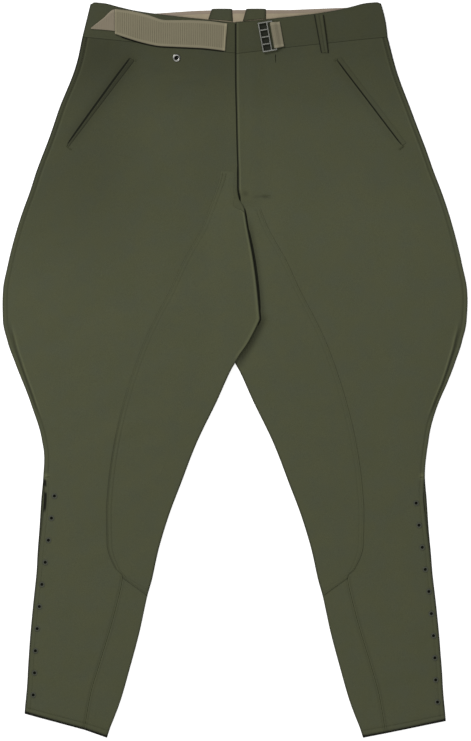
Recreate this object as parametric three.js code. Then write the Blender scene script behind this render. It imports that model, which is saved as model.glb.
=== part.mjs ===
// Military riding breeches with laced calves, laid flat on their back and seen from +Z.
// The waist points to +Y. Left and right are the wearer's: the left leg lies at +X. Sizes in millimetres.
import * as THREE from "three";

// Thickness of each stuff
const CLOTH = 1.5;
const PATCH = 1.2;
const LINING = 0.8;
const WEBBING = 1.6;

// Air between pieces: at a sewn seam, and under a piece that lies on another
const SEAM = 0.3;
const REST = 0.4;

// How far the front stands off the back in the middle of a leg, and the width of the roll at its edges
const CROWN = 2.6;
const OUTER_ROLL = 50;
const INNER_ROLL = 70;
const CENTRE_FLAT = 14; // each side of the fly and the crotch seam the front has no crown

const WAIST_WIDTH = 208; // from the centre to the side at the top corner of the waistband
const WAISTBAND_BOTTOM = 473;
const LINING_DEPTH = 28;
const HEM_DROP = 3; // the back hem reaches this far below the front hem
const FLY_WIDTH = 20; // the left front lies fully over the right one as far out as this
const FLY_EASE = 25; // and comes down to the back over this width
const FOLD_EASE = 40;

const COLOURS = {
  cloth: 0x4d503b,
  patch: 0x4b4e39,
  lining: 0x9b9187,
  webbing: 0x7c7660,
  steel: 0x6e6c66,
  eyelet: 0x4a4d3a,
};

// Sections of one leg from the waistband seam down to the hem, with where the side edge, the saddle patch's
// seam and the inner edge lie. The laps say how far each front passes the centre line, and "over" which
// front is the upper one there: 1 is fully over the other. Tuck is how far the calf slit's front edge
// stands back from the edge below it.
const SECTION_COLUMNS =
  "name sideX sideY seamX seamY innerX innerY rightLap leftLap rightOver leftOver tuck".split(" ");
const SECTIONS = [
  ["waist", 217, 473, 85, 459, 0, 449, 13, -1.1, 0, 1, 0],
  ["hip", 231, 420, 74, 412, 0, 409, 13, -1.4, 0, 1, 0],
  ["pocket", 251, 365, 57, 359, 0, 358, 13, -2.6, 0, 1, 0],
  ["pocket end", 271, 315, 36, 312, 0, 310, 13, -3.7, 0, 1, 0],
  ["fly tack", 281, 284, 20, 283, 0, 281, 12, -4.7, 0, 1, 0],
  ["fly opens", 290, 258, 26, 258, 0, 258, 3, -4.7, 0, 1, 0],
  ["fly end", 295, 244, 31, 244, 0, 244, 4, -11.4, 1, 1, 0],
  ["fold starts", 300, 230, 36, 230, 0, 230, 13, -7.1, 1, 0, 0],
  ["thigh", 309, 202, 47, 202, 0, 202, 18, -4.3, 1, 0, 0],
  ["flare", 322, 153, 74, 153, 0, 153, 27, -3.5, 1, 0, 0],
  ["widest", 329, 114, 92, 114, 0, 114, 32, -2.8, 1, 0, 0],
  ["fold corner", 330, 72, 114, 72, 0, 72, 36, -2.8, 1, 0, 0],
  ["fold end", 323, 40, 129, 40, 0, 40, 20, -2.1, 1, 0, 0],
  ["crotch", 311, 9, 141, 9, 0.3, 9, 0, 0, 1, 0, 0],
  ["lower thigh", 290, -44, 159, -48, 27, -47, 0, 0, 0.4, 0, 0],
  ["above knee", 275, -97, 172, -104, 55, -105, 0, 0, 0, 0, 0],
  ["slit top", 271, -145, 180, -159, 77, -162, 0, 0, 0, 0, 0],
  ["knee", 274, -185, 183, -204, 94, -207, 0, 0, 0, 0, 4],
  ["below knee", 277, -227, 182, -248, 109, -257, 0, 0, 0, 0, 2.5],
  ["calf", 280, -260, 171, -280, 119, -298, 0, 0, 0, 0, 1.5],
  ["patch end", 282, -287, 160, -295, 126, -321, 0, 0, 0, 0, 1],
  ["shin", 288, -341, 173, -352, 136, -372, 0, 0, 0, 0, 1],
  ["lower shin", 293, -398, 191, -412, 150, -426, 0, 0, 0, 0, 1],
  ["ankle", 295, -446, 205, -460, 163, -471, 0, 0, 0, 0, 1],
  ["hem", 299, -490, 214, -510, 182, -520, 0, 0, 0, 0, 1],
].map((row) => Object.fromEntries(row.map((value, i) => [SECTION_COLUMNS[i], value])));
const STEPS = 2; // sections worked out in each interval of the table
const OUTER_COLUMNS = 7;
const INNER_COLUMNS = 4;

// Height of the waistband's top edge by distance from the centre: the same on both fronts, and at the back
// a little higher on the left
const FRONT_TOP = { x: [0, 62, 114, 145, 166, 186, WAIST_WIDTH], y: [494, 500, 506, 511, 516, 521, 523] };
const BACK_TOP = {
  left: { x: [0, 74, 102, 139, 166, WAIST_WIDTH], y: [512, 512, 513, 514.5, 515.5, 523] },
  right: { x: [0, 50, 68, 98, 114, 150, 180, WAIST_WIDTH], y: [512, 511, 510, 508, 507, 508, 516, 523] },
};

// Soft ridges that stand up in the front, each from one end to the other
const RIDGE_COLUMNS = "leg fromX fromY toX toY width height".split(" ");
const RIDGES = [
  ["left", 48, 225, 92, 120, 16, 1.1],
  ["left", 120, 60, 205, 10, 18, 0.9],
  ["left", 75, -60, 190, -120, 17, 0.9],
  ["left", 255, 240, 230, 60, 22, 0.8],
  ["right", 105, 412, 22, 404, 16, 0.9],
  ["right", 60, 200, 130, 90, 18, 0.8],
  ["right", 250, 250, 215, 80, 22, 0.9],
  ["right", 80, -50, 195, -100, 17, 1.0],
  ["left", 190, -300, 240, -430, 16, 0.7],
  ["right", 185, -310, 235, -440, 16, 0.7],
].map((row) => Object.fromEntries(row.map((value, i) => [RIDGE_COLUMNS[i], value])));

// Trims that lie on the front
const WELT = { fromX: 143, fromY: 439, toX: 236, toY: 317, width: 7, thickness: 1, steps: 8 };
const LOOP = {
  topX: 114.5,
  bottomX: 122,
  topY: 504,
  bottomY: 450,
  topWidth: 14,
  bottomWidth: 11,
  thickness: 1.2,
  arch: 1.2,
};
const BACK_LOOPS = {
  right: { topFrom: -33, topTo: -4, lowFrom: -38, lowTo: -3 },
  left: { topFrom: 16, topTo: 44, lowFrom: 11, lowTo: 44 },
  topY: 513.5,
  clear: 1.1,
  thickness: 1.2,
};
const RING = { x: -83, y: 443, outer: 5.6, hole: 2.6, height: 1.4 };
const EYELETS = {
  count: 10,
  pitch: 31.4,
  outer: 4.2,
  hole: 2,
  height: 0.9,
  firstY: { left: -189, right: -179 },
  inset: 9.5,
  topInset: 17, // the first eyelets stand further in, where the slit's facing widens
  taper: 4,
};

// The belt end as a band: its upper and lower edge from the folded corner to the cut end
const STRAP = [
  [-171, 512, -170.5, 480],
  [-150, 509.5, -156, 473.5],
  [-125, 504, -132, 465.5],
  [-98, 496.5, -105, 460.5],
  [-68, 496.5, -78, 458],
  [-40, 495.5, -45, 456.5],
  [-11, 492, -14, 453],
].map(([topX, topY, lowX, lowY]) => ({ topX, topY, lowX, lowY }));
const STRAP_FOLD = [
  [-204.5, 485.5, -204.5, 484],
  [-187, 499, -187, 482.5],
  [-171, 511.5, -170.5, 480.5],
  [-153, 509, -158, 474.5],
].map(([topX, topY, lowX, lowY]) => ({ topX, topY, lowX, lowY }));

// The ladder buckle stands on the waistband, turned a little from upright
const BUCKLE = {
  x: 46,
  y: 473,
  turn: THREE.MathUtils.degToRad(10),
  width: 21,
  height: 43,
  thickness: 1.8,
  rail: 2.2,
  windows: 4,
  windowWidth: 9.8,
  rung: 2,
  lift: 2.1, // the webbing loop's lower layer lies under the plate
};
const TAB = { reach: 11.5, height: 37, wall: 1.2, clear: 0.4 };

const SIDES = [
  { side: "left", sign: 1 },
  { side: "right", sign: -1 },
];

// Monotone cubic curve through the values at rising knots, so no bulge passes a given point.
function smoothCurve(knots, values) {
  const last = knots.length - 1;
  const slope = values.slice(0, last).map((v, i) => (values[i + 1] - v) / (knots[i + 1] - knots[i]));
  const tangent = values.map((_, i) => {
    if (i === 0) return slope[0];
    if (i === last) return slope[last - 1];
    const product = slope[i - 1] * slope[i];
    return product <= 0 ? 0 : (2 * product) / (slope[i - 1] + slope[i]);
  });
  return (at) => {
    const x = THREE.MathUtils.clamp(at, knots[0], knots[last]);
    let i = 0;
    while (i < last - 1 && x > knots[i + 1]) i++;
    const span = knots[i + 1] - knots[i];
    const u = (x - knots[i]) / span;
    const rise = 3 * u * u - 2 * u * u * u;
    const bend = (u * tangent[i] * (1 - u) ** 2 - u * u * (1 - u) * tangent[i + 1]) * span;
    return values[i] * (1 - rise) + values[i + 1] * rise + bend;
  };
}

const column = (name) => SECTIONS.map((section) => section[name]);
const atIndex = Object.fromEntries(
  SECTION_COLUMNS.slice(1).map((name) => [name, smoothCurve(SECTIONS.map((_, i) => i), column(name))]),
);
const byHeight = (name, height) => {
  const curve = smoothCurve(column(height).map((y) => -y), column(name));
  return (y) => curve(-y);
};
const sideAt = byHeight("sideX", "sideY");
const innerAt = byHeight("innerX", "innerY");
const overAt = { left: byHeight("leftOver", "innerY"), right: byHeight("rightOver", "innerY") };
const frontTop = smoothCurve(FRONT_TOP.x, FRONT_TOP.y);
const backTops = {
  left: smoothCurve(BACK_TOP.left.x, BACK_TOP.left.y),
  right: smoothCurve(BACK_TOP.right.x, BACK_TOP.right.y),
};
const backTop = (x) => backTops[x > 0 ? "left" : "right"](Math.abs(x));
const sectionIndex = (name) => SECTIONS.findIndex((section) => section.name === name);

const FOLD_END = sectionIndex("fold end");
const LOWER_THIGH = sectionIndex("lower thigh");

const ease = (value, from, to) => THREE.MathUtils.smoothstep((value - from) / (to - from), 0, 1);
const roll = (distance, width) => Math.sin((Math.PI / 2) * THREE.MathUtils.clamp(distance / width, 0, 1));

// Height of a soft ridge over a point of the front
function ridgeHeight(side, x, y) {
  let height = 0;
  for (const ridge of RIDGES.filter(({ leg }) => leg === side)) {
    const sign = side === "left" ? 1 : -1;
    const alongX = (ridge.toX - ridge.fromX) * sign;
    const alongY = ridge.toY - ridge.fromY;
    const length = Math.hypot(alongX, alongY);
    const fromX = x - ridge.fromX * sign;
    const fromY = y - ridge.fromY;
    const share = (fromX * alongX + fromY * alongY) / length ** 2;
    const across = (fromX * alongY - fromY * alongX) / length;
    if (share > 0 && share < 1)
      height += ridge.height * Math.sin(Math.PI * share) * Math.exp(-((across / ridge.width) ** 2));
  }
  return height;
}

// Underside of a front layer: off the back by a seam's gap, crowned in the leg, raised over the waist
// lining, and lifted where it lies over the other leg's front.
function frontUnder(side, x, y) {
  const outside = Math.max(sideAt(y) - Math.abs(x), 0);
  const flat = CENTRE_FLAT * ease(y, SECTIONS[LOWER_THIGH].innerY, SECTIONS[FOLD_END].innerY);
  const inside = Math.max(Math.abs(x) - innerAt(y) - flat, 0);
  const edges = roll(outside, OUTER_ROLL) * roll(inside, INNER_ROLL);
  const waist = (LINING + SEAM) * ease(y, WAISTBAND_BOTTOM - 60, WAISTBAND_BOTTOM + 5);
  const flyLift = overAt.left(y) * (CLOTH + REST) * (1 - ease(x, FLY_WIDTH, FLY_WIDTH + FLY_EASE));
  const foldLift =
    overAt.right(y) * (CLOTH + REST + PATCH + REST) * ease(x, -5 - FOLD_EASE, -5);
  const lift = side === "left" ? flyLift : foldLift;
  return CLOTH + SEAM + waist + CROWN * edges + edges * ridgeHeight(side, x, y) + lift;
}

const onFront = (side, x, y) => frontUnder(side, x, y) + CLOTH + REST;

// Point of a leg's pattern: down is the section's place in the table, across runs from 0 at the side
// over 1 at the patch seam to 2 at the front's inner edge.
function legPoint({ side, sign }, down, across) {
  const at = (name) => atIndex[name](down);
  const edge = at("innerX") - at(side === "left" ? "leftLap" : "rightLap");
  const [fromX, fromY, toX, toY] =
    across <= 1
      ? [at("sideX") - at("tuck"), at("sideY"), at("seamX"), at("seamY")]
      : [at("seamX"), at("seamY"), edge, at("innerY")];
  const share = across <= 1 ? across : across - 1;
  return { x: sign * (fromX + (toX - fromX) * share), y: fromY + (toY - fromY) * share };
}

const range = (from, to, count) => Array.from({ length: count + 1 }, (_, i) => from + ((to - from) * i) / count);
const downTo = (from, to) => range(from, to, Math.round((to - from) * STEPS));

// Turns a closed mesh's faces outwards, whichever way its leg is mirrored.
function facingOut(geometry) {
  const p = geometry.getAttribute("position");
  const index = geometry.index ? Array.from(geometry.index.array) : range(0, p.count - 1, p.count - 1);
  const [a, b, c] = [new THREE.Vector3(), new THREE.Vector3(), new THREE.Vector3()];
  let volume = 0;
  for (let i = 0; i < index.length; i += 3) {
    a.fromBufferAttribute(p, index[i]);
    b.fromBufferAttribute(p, index[i + 1]);
    c.fromBufferAttribute(p, index[i + 2]);
    volume += a.dot(b.cross(c));
  }
  if (volume < 0) index.reverse();
  const out = new THREE.BufferGeometry().setAttribute("position", p).setIndex(index);
  out.computeVertexNormals();
  return out;
}

// A wall of cloth over a grid of {x, y, z} points of its underside. "has" says which cells it covers.
function wall(grid, thickness, has = () => true) {
  const rows = grid.length;
  const columns = grid[0].length;
  const position = grid.flat().flatMap(({ x, y, z }) => [x, y, z, x, y, z + thickness]);
  const index = [];
  const low = (i, j) => (i * columns + j) * 2;
  const high = (i, j) => low(i, j) + 1;
  const quad = (a, b, c, d) => index.push(a, b, c, a, c, d);
  const filled = (i, j) => i >= 0 && j >= 0 && i < rows - 1 && j < columns - 1 && has(i, j);
  const side = (i, j, m, n) => quad(low(i, j), low(m, n), high(m, n), high(i, j));
  for (let i = 0; i < rows - 1; i++)
    for (let j = 0; j < columns - 1; j++) {
      if (!filled(i, j)) continue;
      quad(high(i, j), high(i + 1, j), high(i + 1, j + 1), high(i, j + 1));
      quad(low(i, j), low(i, j + 1), low(i + 1, j + 1), low(i + 1, j));
      if (!filled(i - 1, j)) side(i, j + 1, i, j);
      if (!filled(i + 1, j)) side(i + 1, j, i + 1, j + 1);
      if (!filled(i, j - 1)) side(i, j, i + 1, j);
      if (!filled(i, j + 1)) side(i + 1, j + 1, i, j + 1);
    }
  const geometry = new THREE.BufferGeometry();
  geometry.setAttribute("position", new THREE.Float32BufferAttribute(position, 3));
  geometry.setIndex(index);
  return facingOut(geometry);
}

// A flat piece of cloth cut to an outline of {x, y} points
function flatPiece(outline, thickness, bottom) {
  const shape = new THREE.Shape(outline.map(({ x, y }) => new THREE.Vector2(x, y)));
  const geometry = new THREE.ExtrudeGeometry(shape, { depth: thickness, bevelEnabled: false });
  return facingOut(geometry.translate(0, 0, bottom));
}

const breeches = new THREE.Group();
function add(name, geometry, colour, metalness = 0) {
  const material = new THREE.MeshStandardMaterial({
    color: COLOURS[colour],
    roughness: metalness ? 0.4 : 0.95,
    metalness,
  });
  const mesh = new THREE.Mesh(geometry, material);
  mesh.name = name;
  breeches.add(mesh);
}

const FLY_TACK = sectionIndex("fly tack");
const FLY_CLEAR = 2.5;
const PATCH_TOP = sectionIndex("fold starts");
const PATCH_END = sectionIndex("patch end");
const HEM = sectionIndex("hem");
const ACROSS = [...range(0, 1, OUTER_COLUMNS), ...range(1, 2, INNER_COLUMNS).slice(1)];
const TRIM = 0.01; // share of a section by which a sewn piece stands back from its neighbour

// Front of a leg: full width down to the patch's end, then only outside the shin seam
function frontPanel(leg) {
  const downs = downTo(0, HEM);
  downs[0] = TRIM;
  const grid = downs.map((down) =>
    ACROSS.map((across) => {
      const { x, y } = legPoint(leg, down, across);
      return { x, y, z: frontUnder(leg.side, x, y) };
    }),
  );
  const covers = (i, j) => j < OUTER_COLUMNS || downs[i] < PATCH_END;
  return wall(grid, CLOTH, covers);
}

function shinPanel(leg) {
  const downs = downTo(PATCH_END, HEM);
  downs[0] += TRIM;
  const grid = downs.map((down) =>
    range(1 + TRIM, 2, INNER_COLUMNS - 1).map((across) => {
      const { x, y } = legPoint(leg, down, across);
      return { x, y, z: frontUnder(leg.side, x, y) };
    }),
  );
  return wall(grid, CLOTH);
}

// The saddle patch is the front's own points moved out, its inner edge a little inside the front's. On the
// right it starts higher, beside the fly, where its edge stays clear of the left front.
function saddlePatch(leg) {
  const edgeShare = 0.98;
  const top = leg.side === "right" ? FLY_TACK : PATCH_TOP;
  const grid = downTo(top, PATCH_END).map((down) => {
    const seam = legPoint(leg, down, 1);
    const edge = legPoint(leg, down, 1 + edgeShare);
    if (down < PATCH_TOP) edge.x = Math.min(edge.x, -FLY_CLEAR);
    return range(0, 1, INNER_COLUMNS).map((share) => {
      const x = seam.x + (edge.x - seam.x) * share;
      const y = seam.y + (edge.y - seam.y) * share;
      return { x, y, z: onFront(leg.side, x, y) };
    });
  });
  return wall(grid, PATCH);
}

// The waistband goes from the front's first section up to its own top edge
function frontWaistband(leg) {
  const levels = [0, 0.5, 1];
  const grid = levels.map((level) =>
    ACROSS.map((across) => {
      const seam = legPoint(leg, 0, across);
      const topX = (seam.x * WAIST_WIDTH) / SECTIONS[0].sideX;
      const x = seam.x + (topX - seam.x) * level;
      const y = seam.y + (frontTop(Math.abs(topX)) - seam.y) * level;
      return { x, y, z: frontUnder(leg.side, x, y) };
    }),
  );
  return wall(grid, CLOTH);
}

// Outline points of the back, which lies flat: the side edge, the patch seam and the inner edge
const backLine = (sign, name, from, to, shift = 0) =>
  downTo(from, to).map((down) => ({
    x: sign * (atIndex[name + "X"](down) + shift),
    y: atIndex[name + "Y"](down),
  }));

function backPanel({ sign }) {
  const top = PATCH_TOP - 3;
  const hem = [
    { x: sign * SECTIONS[HEM].sideX, y: SECTIONS[HEM].sideY - HEM_DROP },
    { x: sign * SECTIONS[HEM].seamX, y: SECTIONS[HEM].seamY - HEM_DROP },
    { x: sign * SECTIONS[HEM].innerX, y: SECTIONS[HEM].innerY - HEM_DROP },
  ];
  return [
    ...backLine(sign, "side", 0, HEM),
    ...hem,
    ...backLine(sign, "inner", PATCH_END, HEM).reverse(),
    ...backLine(sign, "seam", top, PATCH_END, SEAM).reverse(),
    { x: sign * (SECTIONS[top].seamX + SEAM), y: SECTIONS[top].seamY + SEAM },
    { x: sign * SEAM, y: SECTIONS[top].innerY + SEAM },
    { x: sign * SEAM, y: SECTIONS[0].innerY },
    { x: sign * SECTIONS[0].seamX, y: SECTIONS[0].seamY },
  ];
}

function backSaddlePatch({ sign }) {
  const top = PATCH_TOP - 3;
  const seam = backLine(sign, "seam", top, PATCH_END);
  const inner = backLine(sign, "inner", top, PATCH_END).map(({ x, y }) => ({
    x: sign * Math.max(Math.abs(x), SEAM),
    y,
  }));
  seam[seam.length - 1].y += 2 * SEAM;
  inner[inner.length - 1].y += 2 * SEAM;
  return [...seam, ...inner.reverse()];
}

// The back waistband stands higher than the front one behind the fly
const backTopLine = (fromX, toX, drop) =>
  range(fromX, toX, 16).map((x) => ({ x, y: backTop(x) - drop }));

function backWaistband({ sign }) {
  const { sideX, sideY, seamX, seamY, innerY } = SECTIONS[0];
  return [
    ...backTopLine(sign * SEAM, sign * WAIST_WIDTH, 0),
    { x: sign * sideX, y: sideY + SEAM },
    { x: sign * seamX, y: seamY + SEAM },
    { x: sign * SEAM, y: innerY + SEAM },
  ];
}

function waistLining() {
  const reach = WAIST_WIDTH - 18;
  const top = backTopLine(-reach, reach, 1);
  const bottom = backTopLine(-reach, reach, LINING_DEPTH).reverse();
  return [...top, ...bottom];
}

// A cloth loop turned over the back edge, down to just above the front's edge
function backLoop({ side }) {
  const { topFrom, topTo, lowFrom, lowTo } = BACK_LOOPS[side];
  const low = (x) => ({ x, y: frontTop(Math.abs(x)) + BACK_LOOPS.clear });
  return [{ x: topFrom, y: BACK_LOOPS.topY }, { x: topTo, y: BACK_LOOPS.topY }, low(lowTo), low(lowFrom)];
}

// A strip along rows of {topX, topY, lowX, lowY}, laid on the front. "lift" raises it at a share of its length.
function strip(side, rows, thickness, lift = () => 0, columns = 3) {
  const grid = rows.map(({ topX, topY, lowX, lowY }, i) =>
    range(0, 1, columns).map((share) => {
      const x = topX + (lowX - topX) * share;
      const y = topY + (lowY - topY) * share;
      return { x, y, z: onFront(side, x, y) + lift(i / (rows.length - 1)) };
    }),
  );
  return wall(grid, thickness);
}

function pocketWelt({ side, sign }) {
  const length = Math.hypot(WELT.toX - WELT.fromX, WELT.toY - WELT.fromY);
  const acrossX = (-(WELT.toY - WELT.fromY) / length) * WELT.width;
  const acrossY = ((WELT.toX - WELT.fromX) / length) * WELT.width;
  const rows = range(0, 1, WELT.steps).map((share) => {
    const x = WELT.fromX + (WELT.toX - WELT.fromX) * share;
    const y = WELT.fromY + (WELT.toY - WELT.fromY) * share;
    return { topX: sign * (x + acrossX), topY: y + acrossY, lowX: sign * x, lowY: y };
  });
  return strip(side, rows, WELT.thickness, () => 0, 1);
}

// The belt loop is sewn down at both ends and stands off between them
function beltLoop() {
  const rows = range(0, 1, 6).map((share) => {
    const x = LOOP.topX + (LOOP.bottomX - LOOP.topX) * share;
    const y = LOOP.topY + (LOOP.bottomY - LOOP.topY) * share;
    const width = LOOP.topWidth + (LOOP.bottomWidth - LOOP.topWidth) * share;
    return { topX: x + width, topY: y, lowX: x, lowY: y };
  });
  return strip("left", rows, LOOP.thickness, (share) => LOOP.arch * Math.sin(Math.PI * share), 1);
}

// A flat metal ring with softened edges
function ring({ outer, hole, height }, sides) {
  const chamfer = height / 3;
  const profile = [
    [hole, 0],
    [outer, 0],
    [outer - chamfer, height],
    [hole + chamfer, height],
    [hole, 0],
  ].map(([radius, z]) => new THREE.Vector2(radius, z));
  return facingOut(new THREE.LatheGeometry(profile, sides).rotateX(Math.PI / 2));
}

function ringOn(side, size, x, y, sides) {
  const around = range(0, 2 * Math.PI, sides).map((angle) =>
    onFront(side, x + size.outer * Math.cos(angle), y + size.outer * Math.sin(angle)),
  );
  return ring(size, sides).translate(x, y, Math.max(...around));
}

const buckleFoot = onFront("left", BUCKLE.x, BUCKLE.y);
const placeOnWaist = (geometry) => geometry.rotateZ(BUCKLE.turn).translate(BUCKLE.x, BUCKLE.y, buckleFoot);

// A plate with one column of windows and a long slot beside it for the webbing
function ladderBuckle() {
  const { width, height, rail, windows, windowWidth, rung, thickness, lift } = BUCKLE;
  const windowHeight = (height - 2 * rail - (windows - 1) * rung) / windows;
  const slotWidth = width - 3 * rail - windowWidth;
  const stops = (from, widths) => widths.reduce((all, step) => [...all, all.at(-1) + step], [from]);
  const rungs = Array(windows - 1).fill([rung, windowHeight]).flat();
  const across = stops(-width / 2, [rail, windowWidth, rail, slotWidth, rail]);
  const up = stops(-height / 2, [rail, windowHeight, ...rungs, rail]);
  const solid = (i, j) => !(j === 1 && i % 2 === 1) && !(j === 3 && i > 0 && i < up.length - 2);
  const grid = up.map((y) => across.map((x) => ({ x, y, z: lift })));
  return facingOut(placeOnWaist(wall(grid, thickness, solid)));
}

// Webbing folded round the buckle's outer rail, as a closed loop seen from its edge
function buckleWebbing() {
  const { clear, wall: thick, reach, height } = TAB;
  const railMiddle = BUCKLE.width / 2 - BUCKLE.rail / 2;
  const half = BUCKLE.rail / 2 + clear;
  const low = BUCKLE.lift - clear;
  const high = BUCKLE.lift + BUCKLE.thickness + clear;
  const outline = [
    [-half - thick, low - thick],
    [reach, low - thick],
    [reach, high + thick],
    [-half - thick, high + thick],
  ];
  const inside = [
    [-half, low],
    [half, low],
    [half, high],
    [-half, high],
  ];
  const shape = new THREE.Shape(outline.map(([x, z]) => new THREE.Vector2(x, z)));
  shape.holes.push(new THREE.Path(inside.map(([x, z]) => new THREE.Vector2(x, z))));
  const loop = new THREE.ExtrudeGeometry(shape, { depth: height, bevelEnabled: false });
  loop.translate(0, 0, -height / 2).rotateX(Math.PI / 2).translate(railMiddle, 0, 0);
  return facingOut(placeOnWaist(loop));
}

for (const leg of SIDES) {
  const name = (piece) => `${piece}_${leg.side}`;
  add(name("front_panel"), frontPanel(leg), "cloth");
  add(name("shin_panel"), shinPanel(leg), "cloth");
  add(name("saddle_patch"), saddlePatch(leg), "patch");
  add(name("front_waistband"), frontWaistband(leg), "cloth");
  add(name("pocket_welt"), pocketWelt(leg), "cloth");
  add(name("back_panel"), flatPiece(backPanel(leg), CLOTH, 0), "cloth");
  add(name("back_saddle_patch"), flatPiece(backSaddlePatch(leg), CLOTH, 0), "patch");
  add(name("back_waistband"), flatPiece(backWaistband(leg), CLOTH, 0), "cloth");
  const loopBottom = CLOTH + SEAM + LINING + SEAM;
  add(name("back_loop"), flatPiece(backLoop(leg), BACK_LOOPS.thickness, loopBottom), "cloth");
  for (let i = 0; i < EYELETS.count; i++) {
    const y = EYELETS.firstY[leg.side] - i * EYELETS.pitch;
    const extra = (EYELETS.topInset - EYELETS.inset) * Math.max(0, 1 - i / EYELETS.taper);
    const x = leg.sign * (sideAt(y) - EYELETS.inset - extra);
    const number = String(i + 1).padStart(2, "0");
    add(`calf_eyelet_${leg.side}_${number}`, ringOn(leg.side, EYELETS, x, y, 8), "eyelet", 0.3);
  }
}
add("waist_lining", flatPiece(waistLining(), LINING, CLOTH + SEAM), "lining");
add("belt_loop", beltLoop(), "cloth");
const foldedUnder = (share) => (WEBBING + REST) * (1 - ease(share, 0.18, 0.4));
add("belt_strap", strip("right", STRAP, WEBBING, foldedUnder), "webbing");
add("belt_strap_fold", strip("right", STRAP_FOLD, WEBBING), "webbing");
add("ladder_buckle", ladderBuckle(), "steel", 0.8);
add("buckle_webbing", buckleWebbing(), "webbing");
add("waist_ring", ringOn("right", RING, RING.x, RING.y, 16), "steel", 0.8);

export default breeches;
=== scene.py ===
"""Military riding breeches with laced calves, laid flat on their back and seen from straight above.

The tables are in millimetres: X to the wearer's left, Y to the waist, Z up. Meshes are made in metres.
Each cloth piece is a thin closed sheet over a grid of its pattern: "down" counts the table's sections
from the waist to the hem, and "across" runs from 0 at the side over 1 at the saddle patch's seam to 2 at
the inner edge.
"""

import math

import bpy
import numpy as np
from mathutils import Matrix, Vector


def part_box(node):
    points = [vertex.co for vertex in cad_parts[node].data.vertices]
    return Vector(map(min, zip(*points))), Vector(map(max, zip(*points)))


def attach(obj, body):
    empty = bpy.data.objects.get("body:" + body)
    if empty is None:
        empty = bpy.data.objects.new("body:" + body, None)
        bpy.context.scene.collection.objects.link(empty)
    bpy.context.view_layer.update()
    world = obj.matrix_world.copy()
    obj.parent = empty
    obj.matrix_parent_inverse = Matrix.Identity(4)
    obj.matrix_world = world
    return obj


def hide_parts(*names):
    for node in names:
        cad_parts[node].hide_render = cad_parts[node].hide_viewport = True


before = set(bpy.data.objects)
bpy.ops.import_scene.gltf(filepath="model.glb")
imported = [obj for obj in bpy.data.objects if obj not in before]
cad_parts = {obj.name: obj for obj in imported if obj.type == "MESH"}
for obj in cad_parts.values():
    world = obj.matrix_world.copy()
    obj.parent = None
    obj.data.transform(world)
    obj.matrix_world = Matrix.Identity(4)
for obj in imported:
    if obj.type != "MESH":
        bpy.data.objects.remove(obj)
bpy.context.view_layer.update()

# Thicknesses, and the room between sewn layers and between loose ones
CLOTH, PATCH, LINING, WEBBING = 1.5, 1.2, 0.8, 1.6
SEAM, REST = 0.3, 0.4
# How high a leg is crowned, the width over which each edge rises to that, and the flat beside the centre
CROWN, OUTER_ROLL, INNER_ROLL, CENTRE_FLAT = 2.6, 50, 70, 14
WAIST_WIDTH, WAISTBAND_BOTTOM, HEM_DROP = 208, 473, 3
# How far out each corner of the waist reaches, its drop, and how far the band's end bows out
TOP_CORNER = {"right": (205.4, 3.0, 0.0), "left": (207.4, 2.0, 1.6)}
FLY_WIDTH, FLY_EASE, FOLD_EASE = 20, 25, 40
LINING_REACH, LINING_DEPTH, LINING_BINDING = 190, 28, 5.0
BACK_UNEVENNESS, BACK_RISE = 1.3, 1.1  # the back's waves beside the front's, and the most that it rises
WELT = {"from_x": 143, "from_y": 439, "to_x": 236, "to_y": 317, "thickness": 1}
# Where a welt's inner edge stands off its line, the welt's width at both ends, and its open edge
WELT_SIDES = {
    "right": {"shift": 0, "top": 7, "end": 3.4, "open": "outer"},
    "left": {"shift": 2.2, "top": 7, "end": 7, "open": "inner"},
}
LOOP = {"top": (112, 504, 14), "bottom": (122, 450, 11), "thickness": 1.2, "arch": 1.2}  # x, y, width
# From and to at the loop's top, and at its bottom
BACK_LOOPS = {"right": (-33, -4, -38, -3), "left": (16, 44, 11, 44)}
BACK_LOOP_TOP = 513.5
RING = {"x": -83, "y": 443, "outer": 5.6, "hole": 2.6, "height": 1.4}
EYELETS = {"count": 10, "pitch": 31.4, "outer": 4.2, "hole": 2, "height": 0.75}
EYELETS["first_y"] = {"left": -189, "right": -179}
EYELET_INSET, EYELET_TOP_INSET, EYELET_TAPER = 9.5, 17, 4

# The belt end's upper and lower edge, from its folded corner to the cut end
STRAP = [
    (-171, 512, -170.5, 476.5),
    (-150, 509.5, -156, 471.5),
    (-125, 504, -132, 464.5),
    (-98, 496.5, -105, 459.3),
    (-68, 496.5, -78, 458),
    (-40, 495.5, -45, 456.5),
    (-11, 492, -14, 453),
]
STRAP_FOLD = [
    (-204.5, 485.5, -204.5, 484),
    (-187, 499, -187, 482.5),
    (-171, 511.5, -170.5, 480.5),
    (-153, 509, -158, 474.5),
]
BUCKLE = {"x": 46, "y": 473, "turn": math.radians(10), "width": 21, "height": 43, "thickness": 1.8}
BUCKLE_RAIL, BUCKLE_WINDOW, BUCKLE_RUNG, BUCKLE_WINDOWS = 2.2, 9.8, 2, 4
TAB = {"reach": 11.5, "height": 37, "wall": 1.2, "clear": 0.4}

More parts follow.
